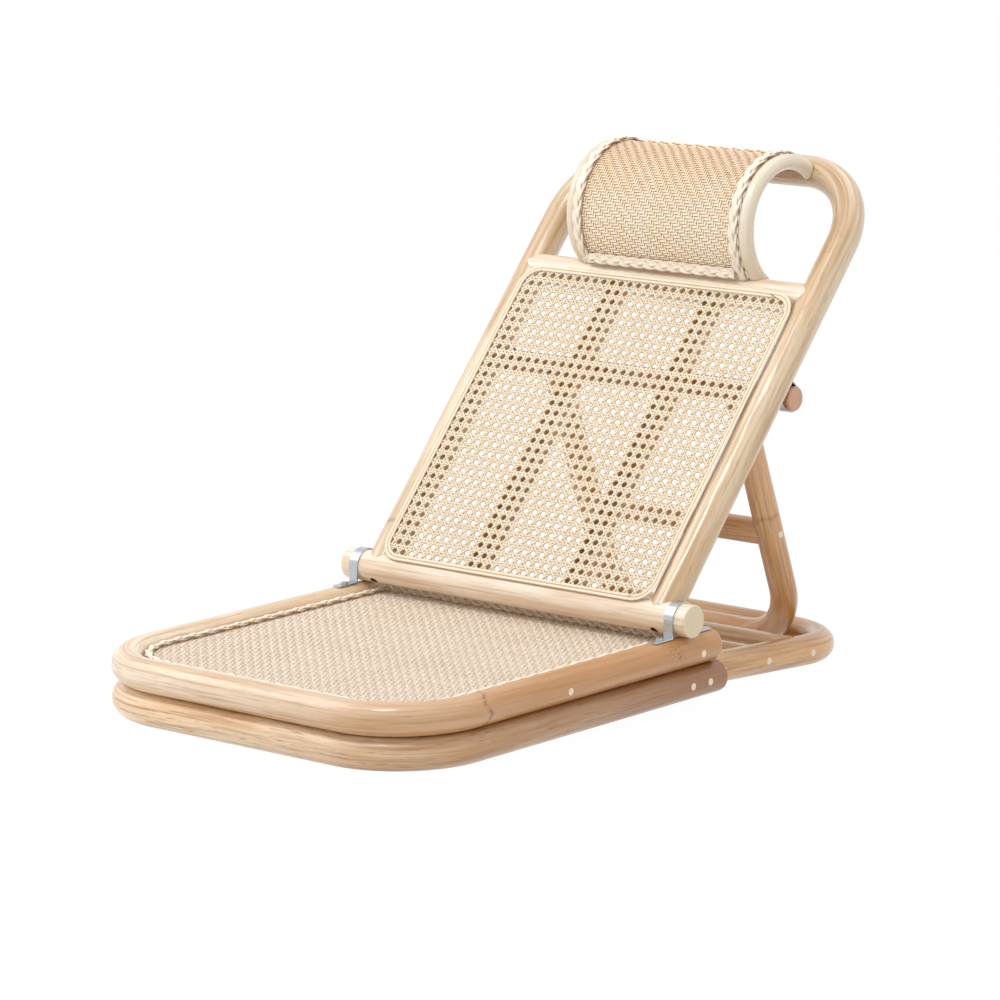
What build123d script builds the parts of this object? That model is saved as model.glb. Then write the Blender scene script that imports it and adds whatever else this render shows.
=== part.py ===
"""Folding rattan floor lounge chair with a caned back, a woven seat and a woven head roll.

Units are millimetres.  Every piece is first placed in the seat's own frame: X to the
sitter's right hand seen from behind, Y rearward from the front bar's centreline, Z up
from the underside of the front frames.  The whole chair is then tipped by a small angle,
so that it stands on its front bar and on the lower rear bar, and centred on its footprint.
"""
import math
import os

from build123d import *

# Round stock
POLE_D = 36.0            # seat, front base and back frames
REAR_POLE_D = 34.5       # rear base frame
STAND_POLE_D = 31.5      # stand frame
BASE_RAIL_D = 28.0       # cross rails of the rear base
SEAT_RAIL_D = 20.0       # rails under the seat weave
SLAT_D = 26.0            # upright slats behind the cane
HOOP_D = 18.0            # bent hoops of the head roll
DOWEL_D = 28.0           # pivot of the stand
CROSSBAR_D = 30.0        # bar between the stand's arms
PIN_D = 8.0              # wooden pins
HIDDEN_DOWEL_D = 10.0    # dowels inside the top rail's joints

# Seat and base
SEAT_WIDTH = 493.0       # over the two side poles
SEAT_CORNER_R = 98.0     # centreline bend of the front corners
SEAT_POLE_END = 494.0    # cut end of the seat frame
BASE_POLE_END = 504.0    # cut end of the front base frame
POLE_END_ROUND = 6.0     # rounding of the cut ends
SEAT_MID_RAIL_Y = 234.0
SEAT_REAR_RAIL_Y = 458.0
WEAVE_TOP_DROP = 10.0    # weave lies this far below the pole tops
WEAVE_T = 3.0
SEAT_BRAID_W = 9.0
SEAT_BRAID_T = 4.5

# Rear base
REAR_BAR_Y = 806.0       # centreline of the rear bar
REAR_DROP = 23.2         # rear bar's centre below the front base frame's centre
REAR_CORNER_R = 95.0
REAR_CLOSE_IN = 6.0      # each rear arm nears the middle by this much at the rear bar
LAP_START_Y = 425.0      # front end of the rear arms, beside the front poles
LAP_PIN_Y = (440.0, 470.0)
REAR_RAIL_Y = 709.0      # rearmost cross rail
RAIL_PITCH = 83.0
RAIL_COUNT = 3

# Back
HINGE_Y = 437.8          # roller axis
ROLLER_OVERHANG = 2.5    # roller past the side poles
BACK_ANGLE = 48.8        # above the seat
BACK_LENGTH = 581.0      # roller axis to the top bar's centreline
BACK_CORNER_R = 93.0
TOP_RAIL_U = 413.0       # top rail's centreline, along the back
SLAT_X = 70.0
CANE_INSET = 6.5         # cane edge inside the uprights' centrelines
CANE_BOTTOM_U = 2.0
CANE_TOP_LAP = 6.0       # cane edge below the top rail's centreline
CANE_CORNER_R = 28.0
CANE_T = 1.5
CANE_BAYS = 10           # openings across and up; each stands for nine of the weave
CANE_BAR = 17.0          # sheet left between two openings
EDGING_W = 8.0
EDGING_T = 2.0

# Head roll
HOOP_X = 124.0
HOOP_LOW = 15.5          # lower hoop end above the top rail's centreline
HOOP_HIGH = 8.5          # upper hoop end below the top bar's centreline
HOOP_CENTRE_W = 9.0      # arc centre in front of the back's middle plane
HOOP_TAIL = 8.0          # straight run at each hoop end
HEAD_WEAVE_T = 3.0
HEAD_WEAVE_RISE = 8.0    # weave's face outside the hoops' centreline
HEAD_BRAID_W = 10.0
HEAD_BRAID_T = 3.5
CROSS_BRAID_GAP = 5.5    # cross braid's edge to the rail or bar beside it
CROSS_BRAID_D = 12.0

# Stand
DOWEL_U = 304.6          # pivot along the back
DOWEL_PAST_UPRIGHT = 10.5  # dowel end past the uprights' centrelines
STAND_WIDTH = 294.5      # over the two arms
STAND_CORNER_R = 70.0
CROSSBAR_DROP = 182.0    # along the arms from the pivot
FOOT_SLACK = 0.5         # foot bar to rear bar

# Straps and screws
STRAP_W = 12.0
STRAP_T = 1.5
STRAP_FLANGE = 30.0
STAND_STRAP_FLANGE = 18.0
STRAP_SIDE_GAP = 1.0     # upright to hinge strap
DOWEL_GAP = 0.6          # stand's pivot to the uprights
SCREW_D = 4.0
SCREW_LENGTH = 16.0
SCREW_HEAD_D = 8.0
SCREW_HEAD_T = 2.2
FRAME_SCREW_D = 5.0
FRAME_SCREW_HEAD_D = 9.0
FRAME_SCREW_HEAD_T = 4.0
FRAME_SCREW_GRIP = 14.0  # bite in the second piece
HOOP_SCREW_GRIP = 8.0
ROLLER_SCREW_D = 6.0
ROLLER_SCREW_RECESS = 8.0
ROLLER_SCREW_BITE = 40.0
PIN_BITE = 25.0          # pin length in the second piece

# Fits
STACK_GAP = 0.2          # seat frame on base frame, arm beside arm
COPE_GAP = 0.2           # shaped pole ends
RUN_GAP = 0.1            # turning parts
PIN_GAP = 0.05
PIN_RUN_OUT = 1.0        # side holes past the pin's outer end
SEAT_GAP = 0.3           # laid-on parts
BORDER_PRESS = 0.4       # weave and cane pressed down under their edge trims
FLOOR_FLAT = 0.5         # sanded flat under the bars
END_ROUND = 2.0          # small end rounding

# Places worked out from the sizes above
POLE_R = POLE_D / 2
REAR_R = REAR_POLE_D / 2
STAND_R = STAND_POLE_D / 2
SIDE_X = (SEAT_WIDTH - POLE_D) / 2
BASE_Z = POLE_R
SEAT_Z = BASE_Z + POLE_D + STACK_GAP
SEAT_TOP_Z = SEAT_Z + POLE_R
REAR_X = SIDE_X - POLE_R - REAR_R - STACK_GAP
LAP_Y = sum(LAP_PIN_Y) / len(LAP_PIN_Y)
REAR_SLOPE = math.degrees(math.atan(REAR_DROP / (REAR_BAR_Y - LAP_Y)))
REAR_REACH = math.hypot(REAR_DROP, REAR_BAR_Y - LAP_Y)
HINGE_Z = SEAT_TOP_Z + POLE_R + SEAT_GAP
ROLLER_HALF = SIDE_X + POLE_R + ROLLER_OVERHANG
BACK_X = SIDE_X - STRAP_W / 2 - STRAP_SIDE_GAP - POLE_R
STAND_X = (STAND_WIDTH - STAND_POLE_D) / 2
DOWEL_OFFSET = POLE_R + DOWEL_D / 2 + DOWEL_GAP
HOOP_R = (BACK_LENGTH - HOOP_HIGH - TOP_RAIL_U - HOOP_LOW) / 2
HOOP_CENTRE_U = TOP_RAIL_U + HOOP_LOW + HOOP_R
TIP = math.atan(REAR_DROP / REAR_BAR_Y) + math.asin((REAR_R - POLE_R) / math.hypot(REAR_DROP, REAR_BAR_Y))

BACK = Plane(
    origin=(0, HINGE_Y, HINGE_Z),
    x_dir=(1, 0, 0),
    z_dir=(0, -math.sin(math.radians(BACK_ANGLE)), math.cos(math.radians(BACK_ANGLE))),
)
REAR = Plane(
    origin=(0, LAP_Y, BASE_Z),
    x_dir=(1, 0, 0),
    z_dir=(0, math.sin(math.radians(REAR_SLOPE)), math.cos(math.radians(REAR_SLOPE))),
)


def on_back(x, u, w=0.0):
    """Point at x across the back, u up from the roller axis and w in front of its plane."""
    return BACK.from_local_coords(Vector(x, u, w))


def on_rear(x, y):
    """Point at x and y on the sloping plane of the rear base."""
    return REAR.from_local_coords(Vector(x, (y - LAP_Y) / math.cos(math.radians(REAR_SLOPE)), 0))


def rear_arm_x(y):
    """Distance of a rear arm's centreline from the middle, at y."""
    return REAR_X - REAR_CLOSE_IN * (y - LAP_START_Y) / (REAR_BAR_Y - LAP_START_Y)


def rod(start, end, diameter):
    """Straight round bar between two points."""
    start, end = Vector(start), Vector(end)
    run = end - start
    return Solid.make_cylinder(diameter / 2, run.length, Plane(origin=start, z_dir=run))


def bent_pole(plane, corners, bend, diameter):
    """Round pole bent along corners drawn on a plane."""
    path = FilletPolyline(*corners, radius=bend)
    section = Plane(origin=path @ 0, z_dir=path % 0) * Circle(diameter / 2)
    return plane * sweep(section, path=path)


def round_ends(pole, radius):
    """Pole with the rims of its flat ends rounded."""
    rims = [edge for face in pole.faces().filter_by(GeomType.PLANE) for edge in face.edges()]
    return fillet(rims, radius)


def cope(point, direction, diameter, reach):
    """Cutter that shapes a pole's end to the round pole it meets."""
    point, direction = Vector(point), Vector(direction)
    return rod(point - direction * reach, point + direction * reach, diameter + 2 * COPE_GAP)


def pin(start, end, diameter=PIN_D, run_out=0.0):
    """Wooden pin and the hole that it fills, which may run out past the pin's start."""
    start, end = Vector(start), Vector(end)
    mouth = start - (end - start).normalized() * run_out
    return rod(start, end, diameter - 2 * PIN_GAP), rod(mouth, end, diameter)


def screw(seat, direction, length, diameter, head_d, head_t):
    """Round-headed screw whose head sits on a point, and its pilot hole."""
    seat, direction = Vector(seat), Vector(direction).normalized()
    tip = seat + direction * length
    head = rod(seat - direction * head_t, seat, head_d)
    return head + rod(seat, tip, diameter - 2 * PIN_GAP), rod(seat, tip, diameter)


def omega_strap(plane, bore_r, rise, flange):
    """Bent steel strap over a round bar, with a foot on each side.

    The plane's X runs along the feet and its Y stands away from what they are screwed to.
    Returns the strap and the places of its two screws on the feet's outer faces.
    """
    outer = bore_r + STRAP_T
    reach = outer + flange
    wall = Circle(outer) + Pos(0, -rise / 2) * Rectangle(2 * outer, rise)
    bore = Circle(bore_r) + Pos(0, -rise / 2) * Rectangle(2 * bore_r, rise)
    feet = Pos(0, STRAP_T / 2 - rise) * Rectangle(2 * reach, STRAP_T)
    kept = Pos(0, reach - rise) * Rectangle(2 * reach, 2 * reach)
    strap = extrude(plane * ((wall + feet - bore) & kept), amount=STRAP_W / 2, both=True)
    seats = []
    for side in (-1, 1):
        hole_x = side * (outer + flange / 2)
        seat = plane.from_local_coords(Vector(hole_x, STRAP_T - rise, 0))
        strap -= rod(seat, seat - plane.y_dir * STRAP_T, SCREW_D)
        seats.append(seat)
    upright = strap.edges().filter_by(Axis(plane.origin, plane.y_dir))
    tips = upright.sort_by(Axis(plane.origin, plane.x_dir))
    return fillet(tips[:2] + tips[-2:], STRAP_W / 3), seats


def group(solids):
    """Several separate solids kept as one node."""
    return Compound(children=[Solid(solid.solids()[0].wrapped) for solid in solids])


def seat_outline(inset, end_y):
    """Corners of the seat's open loop, moved inward from the poles' centrelines."""
    x = SIDE_X - inset
    return [(x, end_y), (x, inset), (-x, inset), (-x, end_y)]


def rail_between(left, right, diameter, meets_d, along):
    """Cross rail whose ends are shaped to the poles that it joins."""
    reach = 2 * meets_d
    rail = rod(left, right, diameter)
    return rail - cope(left, along, meets_d, reach) - cope(right, along, meets_d, reach)


def side_pins(y_places, outer_x, bite_x, z_of):
    """Pins driven in from both sides at each place, and their holes."""
    made = [
        pin((side * outer_x, y, z_of(y)), (side * bite_x, y, z_of(y)), run_out=PIN_RUN_OUT)
        for y in y_places
        for side in (-1, 1)
    ]
    return [p for p, _ in made], [hole for _, hole in made]


def rear_loop(diameter):
    """Bent pole of the rear base, in a chosen thickness."""
    start_y = (LAP_START_Y - LAP_Y) / math.cos(math.radians(REAR_SLOPE))
    far_x = rear_arm_x(REAR_BAR_Y)
    corners = [(REAR_X, start_y), (far_x, REAR_REACH), (-far_x, REAR_REACH), (-REAR_X, start_y)]
    return bent_pole(REAR, corners, REAR_CORNER_R, diameter)


def build_base(parts):
    """Seat frame, base frames, rails, seat weave and hinge straps."""
    front = round_ends(
        bent_pole(Plane.XY.offset(BASE_Z), seat_outline(0, BASE_POLE_END), SEAT_CORNER_R, POLE_D),
        POLE_END_ROUND,
    )
    seat = round_ends(
        bent_pole(Plane.XY.offset(SEAT_Z), seat_outline(0, SEAT_POLE_END), SEAT_CORNER_R, POLE_D),
        POLE_END_ROUND,
    )
    rear = rear_loop(REAR_POLE_D)
    rear_socket = rear_loop(REAR_POLE_D + 2 * COPE_GAP)

    # Lap of the rear arms beside the front poles
    pins, holes = side_pins(LAP_PIN_Y, SIDE_X + POLE_R, REAR_X + REAR_R - PIN_BITE, lambda y: BASE_Z)
    front -= holes
    rear -= holes
    parts["lap_pins"] = group(pins)

    # Cross rails of the rear base
    pins = []
    for index, name in enumerate(("rear", "middle", "front")[:RAIL_COUNT]):
        y = REAR_RAIL_Y - index * RAIL_PITCH
        arm_x = rear_arm_x(y)
        rail = rod(on_rear(-arm_x, y), on_rear(arm_x, y), BASE_RAIL_D) - rear_socket
        new_pins, holes = side_pins(
            [y], arm_x + REAR_R, arm_x - REAR_R - PIN_BITE, lambda place: on_rear(0, place).Z
        )
        pins += new_pins
        rear -= holes
        parts[f"base_rail_{name}"] = rail - holes
    parts["base_rail_pins"] = group(pins)

    # Rails under the seat weave
    weave_top = SEAT_TOP_Z - WEAVE_TOP_DROP
    rail_z = weave_top - WEAVE_T - SEAT_GAP - SEAT_RAIL_D / 2
    pins = []
    for name, y in (("seat_mid_rail", SEAT_MID_RAIL_Y), ("seat_rear_rail", SEAT_REAR_RAIL_Y)):
        reach = Vector(0, 2 * POLE_D, 0)
        rail = rod((-SIDE_X, y, rail_z), (SIDE_X, y, rail_z), SEAT_RAIL_D)
        for x in (-SIDE_X, SIDE_X):
            pole = Vector(x, y, SEAT_Z)
            rail -= rod(pole - reach, pole + reach, POLE_D + 2 * COPE_GAP)
            lower = Vector(x, y, BASE_Z)
            rail -= rod(lower - reach, lower + reach, POLE_D + 2 * COPE_GAP)
        new_pins, holes = side_pins(
            [y], SIDE_X + POLE_R, SIDE_X - POLE_R - PIN_BITE, lambda place: rail_z + SEAT_RAIL_D / 8
        )
        pins += new_pins
        seat -= holes
        parts[name] = rail - holes
    parts["seat_rail_pins"] = group(pins)

    # Woven seat and its braided rim
    rise = SEAT_Z - (weave_top - WEAVE_T)
    inset = math.sqrt(POLE_R**2 - rise**2) + SEAT_GAP
    weave_end = SEAT_REAR_RAIL_Y - SEAT_RAIL_D / 4
    outline = FilletPolyline(*seat_outline(inset, weave_end), radius=SEAT_CORNER_R - inset)
    sheet = make_face([outline, Line(outline @ 1, outline @ 0)])
    border = extrude(sheet, amount=WEAVE_T - BORDER_PRESS)
    rim_end = weave_end - SEAT_BRAID_W - SEAT_GAP
    field_inset = inset + SEAT_BRAID_W + SEAT_GAP
    inner = FilletPolyline(*seat_outline(field_inset, rim_end), radius=SEAT_CORNER_R - field_inset)
    field = extrude(make_face([inner, Line(inner @ 1, inner @ 0)]), amount=WEAVE_T)
    parts["seat_weave"] = Pos(0, 0, weave_top - WEAVE_T) * (border + field)
    rim_inset = inset + SEAT_BRAID_W / 2
    rim = FilletPolyline(*seat_outline(rim_inset, rim_end), radius=SEAT_CORNER_R - rim_inset)
    braid_section = Pos(0, SEAT_BRAID_T / 2 + SEAT_GAP) * RectangleRounded(
        SEAT_BRAID_W, SEAT_BRAID_T, SEAT_BRAID_T / 3
    )
    rim_plane = Plane(origin=rim @ 0, x_dir=(1, 0, 0), z_dir=rim % 0)
    braid = sweep(rim_plane * braid_section, path=rim)
    parts["seat_braid_rim"] = Pos(0, 0, weave_top - BORDER_PRESS) * braid
    rear_half = SIDE_X - inset
    rear_start = (-rear_half, weave_end - SEAT_BRAID_W / 2, weave_top - BORDER_PRESS)
    rear_plane = Plane(origin=rear_start, x_dir=(0, 1, 0), z_dir=(1, 0, 0))
    parts["seat_braid_rear"] = extrude(rear_plane * braid_section, amount=2 * rear_half)

    # Hinge straps on the seat poles
    screws = []
    for name, side in (("left", -1), ("right", 1)):
        plane = Plane(origin=(side * SIDE_X, HINGE_Y, HINGE_Z), x_dir=(0, 1, 0), z_dir=(1, 0, 0))
        strap, seats = omega_strap(plane, POLE_R + RUN_GAP, HINGE_Z - SEAT_TOP_Z, STRAP_FLANGE)
        for place in seats:
            made, hole = screw(place, (0, 0, -1), SCREW_LENGTH, SCREW_D, SCREW_HEAD_D, SCREW_HEAD_T)
            screws.append(made)
            seat -= hole
        parts[f"hinge_strap_{name}"] = strap
    parts["hinge_strap_screws"] = group(screws)

    # Screws that hold the seat frame down on the base frame
    screws = []
    head_z = FRAME_SCREW_HEAD_T + POLE_R / 3
    screw_y = (SEAT_CORNER_R + POLE_D, LAP_START_Y - POLE_D)
    for x, y in [(side * SIDE_X, y) for side in (-1, 1) for y in screw_y]:
        length = SEAT_Z - POLE_R + FRAME_SCREW_GRIP - head_z
        made, hole = screw(
            (x, y, head_z), (0, 0, 1), length, FRAME_SCREW_D, FRAME_SCREW_HEAD_D, FRAME_SCREW_HEAD_T
        )
        screws.append(made)
        front -= hole
        front -= rod((x, y, -POLE_R), (x, y, head_z), FRAME_SCREW_HEAD_D + 2 * PIN_GAP)
        seat -= hole
    parts["frame_screws"] = group(screws)

    parts["base_front_frame"] = front
    parts["seat_frame"] = seat
    parts["base_rear_frame"] = rear


def back_loop(diameter):
    """Bent pole of the back's frame, in a chosen thickness."""
    corners = [(BACK_X, 0), (BACK_X, BACK_LENGTH), (-BACK_X, BACK_LENGTH), (-BACK_X, 0)]
    return bent_pole(BACK, corners, BACK_CORNER_R, diameter)


def build_back(parts):
    """Roller, back frame, cane, head roll and the straps that hold the stand."""
    roller_axis = (on_back(-ROLLER_HALF, 0), on_back(ROLLER_HALF, 0))
    roller = round_ends(rod(*roller_axis, POLE_D), END_ROUND)
    frame = back_loop(POLE_D)
    frame -= cope(on_back(0, 0), (1, 0, 0), POLE_D, ROLLER_HALF)
    left, right = on_back(-BACK_X, TOP_RAIL_U), on_back(BACK_X, TOP_RAIL_U)
    rail = rail_between(left, right, POLE_D, POLE_D, BACK.y_dir)

    # Hidden dowels of the top rail
    dowels = []
    for side in (-1, 1):
        made, hole = pin(
            on_back(side * BACK_X, TOP_RAIL_U),
            on_back(side * (BACK_X - POLE_R - PIN_BITE), TOP_RAIL_U),
            HIDDEN_DOWEL_D,
        )
        dowels.append(made)
        frame -= hole
        rail -= hole
    parts["top_rail_dowels"] = group(dowels)

    # Screws through the roller into the uprights
    screws = []
    for side in (-1, 1):
        x = side * BACK_X
        seat = on_back(x, ROLLER_SCREW_RECESS - POLE_R)
        length = POLE_D - ROLLER_SCREW_RECESS + ROLLER_SCREW_BITE
        made, hole = screw(
            seat, BACK.y_dir, length, ROLLER_SCREW_D, FRAME_SCREW_HEAD_D, FRAME_SCREW_HEAD_T
        )
        screws.append(made)
        roller -= hole
        roller -= rod(on_back(x, -POLE_D), seat, FRAME_SCREW_HEAD_D + 2 * PIN_GAP)
        frame -= hole
    parts["roller_screws"] = group(screws)
    parts["hinge_roller"] = roller

    for name, side in (("left", -1), ("right", 1)):
        x = side * SLAT_X
        slat = rod(on_back(x, 0), on_back(x, TOP_RAIL_U), SLAT_D)
        slat -= cope(on_back(x, 0), (1, 0, 0), POLE_D, POLE_D)
        parts[f"back_slat_{name}"] = slat - cope(on_back(x, TOP_RAIL_U), (1, 0, 0), POLE_D, POLE_D)

    build_cane(parts)
    rail, frame = build_head_roll(parts, rail, frame)

    # Straps that hold the stand's pivot on the uprights
    screws = []
    behind = -BACK.z_dir
    for name, side in (("left", -1), ("right", 1)):
        centre = on_back(side * BACK_X, DOWEL_U, -DOWEL_OFFSET)
        plane = Plane(origin=centre, x_dir=BACK.y_dir, z_dir=(-1, 0, 0))
        strap, seats = omega_strap(
            plane, DOWEL_D / 2 + RUN_GAP, DOWEL_OFFSET - POLE_R, STAND_STRAP_FLANGE
        )
        for place in seats:
            made, hole = screw(place, -behind, SCREW_LENGTH, SCREW_D, SCREW_HEAD_D, SCREW_HEAD_T)
            screws.append(made)
            frame -= hole
        parts[f"stand_strap_{name}"] = strap
    parts["stand_strap_screws"] = group(screws)

    parts["back_frame"] = frame
    parts["back_top_rail"] = rail


def build_cane(parts):
    """Cane sheet with a plain grid of openings, and the flat strip round its edge."""
    width = 2 * (BACK_X - CANE_INSET)
    top = TOP_RAIL_U - CANE_TOP_LAP
    height = top - CANE_BOTTOM_U
    middle = Pos(0, (top + CANE_BOTTOM_U) / 2)
    sheet, opening, field = (
        middle * RectangleRounded(width - 2 * inset, height - 2 * inset, CANE_CORNER_R - inset)
        for inset in (0, EDGING_W, EDGING_W + SEAT_GAP)
    )
    front = BACK.offset(POLE_R + SEAT_GAP)
    border_t = CANE_T - BORDER_PRESS
    bays = [(side - 2 * EDGING_W) / CANE_BAYS for side in (width, height)]
    bay = Rectangle(*(pitch - CANE_BAR for pitch in bays))
    holes = [front * middle * spot * bay for spot in GridLocations(*bays, CANE_BAYS, CANE_BAYS)]
    panel = extrude(front * sheet, amount=border_t) + extrude(front * field, amount=CANE_T)
    parts["cane_panel"] = panel - [extrude(hole, amount=CANE_T) for hole in holes]
    edge_plane = front.offset(border_t + PIN_GAP)
    parts["cane_edging"] = extrude(edge_plane * (sheet - opening), amount=EDGING_T)


def build_head_roll(parts, rail, frame):
    """Hoops, woven shell and braids of the head roll; returns the drilled rail and frame."""
    rail_cope = cope(on_back(0, TOP_RAIL_U), (1, 0, 0), POLE_D, BACK_X)
    bar_cope = back_loop(POLE_D + 2 * COPE_GAP)
    low_u, high_u = HOOP_CENTRE_U - HOOP_R, HOOP_CENTRE_U + HOOP_R
    tail_w = HOOP_CENTRE_W - HOOP_TAIL
    screws = []
    for name, side in (("left", -1), ("right", 1)):
        # The plane's X runs up the back and its Y points to the front
        plane = Plane(origin=on_back(side * HOOP_X, 0), x_dir=BACK.y_dir, z_dir=(1, 0, 0))
        arc = ThreePointArc(
            (low_u, HOOP_CENTRE_W), (HOOP_CENTRE_U, HOOP_CENTRE_W + HOOP_R), (high_u, HOOP_CENTRE_W)
        )
        path = Wire([
            Line((low_u, tail_w), (low_u, HOOP_CENTRE_W)),
            arc,
            Line((high_u, HOOP_CENTRE_W), (high_u, tail_w)),
        ])
        section = Plane(origin=path @ 0, z_dir=path % 0) * Circle(HOOP_D / 2)
        hoop = plane * sweep(section, path=path) - rail_cope - bar_cope
        for u, from_u in ((low_u, TOP_RAIL_U), (high_u, BACK_LENGTH)):
            seat = on_back(side * HOOP_X, from_u)
            toward = on_back(side * HOOP_X, u, POLE_R) - seat
            length = toward.length + HOOP_SCREW_GRIP
            made, hole = screw(seat, toward, length, SCREW_D, SCREW_HEAD_D, SCREW_HEAD_T)
            screws.append(made)
            hoop -= hole
            shaft = rod(seat - toward.normalized() * POLE_D, seat, SCREW_HEAD_D + 2 * PIN_GAP)
            if from_u == TOP_RAIL_U:
                rail = rail - hole - shaft
            else:
                frame = frame - hole - shaft
        parts[f"head_hoop_{name}"] = hoop
    parts["hoop_screws"] = group(screws)

    plane = Plane(origin=on_back(0, 0), x_dir=BACK.y_dir, z_dir=(1, 0, 0))
    face_r = HOOP_R + HEAD_WEAVE_RISE
    inner_rise = HEAD_WEAVE_RISE - HEAD_WEAVE_T
    edge_x = HOOP_X - math.sqrt((HOOP_D / 2) ** 2 - inner_rise**2) - SEAT_GAP
    shell = Circle(face_r) - Circle(face_r - HEAD_WEAVE_T)
    front_half = Pos(0, face_r) * Rectangle(2 * face_r, 2 * face_r)
    centre = Pos(HOOP_CENTRE_U, HOOP_CENTRE_W)
    weave = extrude(plane * centre * (shell & front_half), amount=edge_x, both=True)
    parts["head_weave"] = weave - rail_cope - bar_cope

    # Braids along the hoops, and across the two ends of the weave
    braid_r = face_r + SEAT_GAP
    strip = Circle(braid_r + HEAD_BRAID_T) - Circle(braid_r)
    for name, side in (("left", -1), ("right", 1)):
        middle_x = side * (edge_x - HEAD_BRAID_W / 2)
        at_edge = plane.offset(middle_x)
        braid = extrude(at_edge * centre * (strip & front_half), amount=HEAD_BRAID_W / 2, both=True)
        parts[f"head_braid_{name}"] = braid - rail_cope - bar_cope
    across = 2 * (edge_x - HEAD_BRAID_W - SEAT_GAP)
    distance = braid_r + HEAD_BRAID_T / 2
    clear = POLE_R + CROSS_BRAID_GAP + CROSS_BRAID_D / 2
    for name, pole_u, side in (("bottom", TOP_RAIL_U, -1), ("top", BACK_LENGTH, 1)):
        away = math.hypot(pole_u - HOOP_CENTRE_U, HOOP_CENTRE_W)
        aside = math.acos((distance**2 + away**2 - clear**2) / (2 * distance * away))
        turn = math.atan2(-HOOP_CENTRE_W, pole_u - HOOP_CENTRE_U) + side * aside
        spot = (HOOP_CENTRE_U + distance * math.cos(turn), HOOP_CENTRE_W + distance * math.sin(turn))
        section = Pos(*spot) * Rot(0, 0, math.degrees(turn)) * RectangleRounded(
            HEAD_BRAID_T - SEAT_GAP, CROSS_BRAID_D, HEAD_BRAID_T / 3
        )
        parts[f"head_braid_{name}"] = extrude(plane * section, amount=across / 2, both=True)
    return rail, frame


def build_stand(parts):
    """Pivot dowel, bent stand frame and its crossbar."""
    pivot = on_back(0, DOWEL_U, -DOWEL_OFFSET)
    foot_y = REAR_BAR_Y - REAR_R - STAND_R - FOOT_SLACK
    foot_height = STAND_R + SEAT_GAP + FLOOR_FLAT - POLE_R * (1 - math.cos(TIP))
    foot_z = (foot_height - foot_y * math.sin(TIP)) / math.cos(TIP)
    down = Vector(0, foot_y, foot_z) - pivot
    length = down.length
    down = down.normalized()
    plane = Plane(origin=pivot, x_dir=(1, 0, 0), z_dir=Vector(1, 0, 0).cross(down))
    frame = bent_pole(
        plane,
        [(STAND_X, 0), (STAND_X, length), (-STAND_X, length), (-STAND_X, 0)],
        STAND_CORNER_R,
        STAND_POLE_D,
    )
    half = BACK_X + DOWEL_PAST_UPRIGHT
    dowel = round_ends(rod(pivot - Vector(half, 0, 0), pivot + Vector(half, 0, 0), DOWEL_D), END_ROUND)
    frame -= cope(pivot, (1, 0, 0), DOWEL_D, half)
    screws = []
    for side in (-1, 1):
        top = pivot + Vector(side * STAND_X, 0, 0) - down * (DOWEL_D / 2 - FRAME_SCREW_HEAD_T)
        bite = DOWEL_D - FRAME_SCREW_HEAD_T + ROLLER_SCREW_BITE
        made, hole = screw(top, down, bite, FRAME_SCREW_D, FRAME_SCREW_HEAD_D, FRAME_SCREW_HEAD_T)
        screws.append(made)
        dowel -= hole
        dowel -= rod(top - down * DOWEL_D, top, FRAME_SCREW_HEAD_D + 2 * PIN_GAP)
        frame -= hole
    parts["stand_dowel_screws"] = group(screws)

    bar = pivot + down * CROSSBAR_DROP
    left, right = bar - Vector(STAND_X, 0, 0), bar + Vector(STAND_X, 0, 0)
    crossbar = rail_between(left, right, CROSSBAR_D, STAND_POLE_D, down)
    pins, holes = side_pins(
        [bar.Y], STAND_X + STAND_R, STAND_X - STAND_R - PIN_BITE, lambda y: bar.Z
    )
    parts["crossbar_pins"] = group(pins)
    parts["stand_frame"] = frame - holes
    parts["stand_crossbar"] = crossbar - holes
    parts["stand_dowel"] = dowel


def stand_on_floor():
    """Placing that tips the chair onto its two bars and centres it on its footprint."""
    front_y = -SEAT_Z * math.sin(TIP) - POLE_R
    rear_z = BASE_Z - REAR_DROP
    rear_y = REAR_BAR_Y * math.cos(TIP) - rear_z * math.sin(TIP) + REAR_R
    lift = POLE_R * (1 - math.cos(TIP)) - FLOOR_FLAT
    return Location((0, -(front_y + rear_y) / 2, lift), (math.degrees(TIP), 0, 0))


def main():
    """Build every piece, place it on the floor and write one STEP file for each."""
    parts = {}
    build_base(parts)
    build_back(parts)
    build_stand(parts)
    placing = stand_on_floor()
    below = Box(4 * SEAT_WIDTH, 4 * SEAT_WIDTH, POLE_D, align=(Align.CENTER, Align.CENTER, Align.MAX))
    os.makedirs("parts", exist_ok=True)
    for name, piece in parts.items():
        placed = placing * piece
        if name in ("base_front_frame", "base_rear_frame"):
            placed = placed - below
        export_step(placed, f"parts/{name}.step")
    print(len(parts), "pieces written")


main()
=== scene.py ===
"""Looks of a folding rattan floor lounge chair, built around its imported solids.

Sizes are millimetres in the chair's own planes, as the solids have them.  Every mesh is
placed in metres in the row frame, where X runs across the chair, Y rearward and Z up.
"""
import logging
import math
import random
from dataclasses import dataclass
from enum import Enum
from typing import Callable, Optional, Sequence, Union

import bmesh
import bpy
from mathutils import Matrix, Vector


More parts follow.
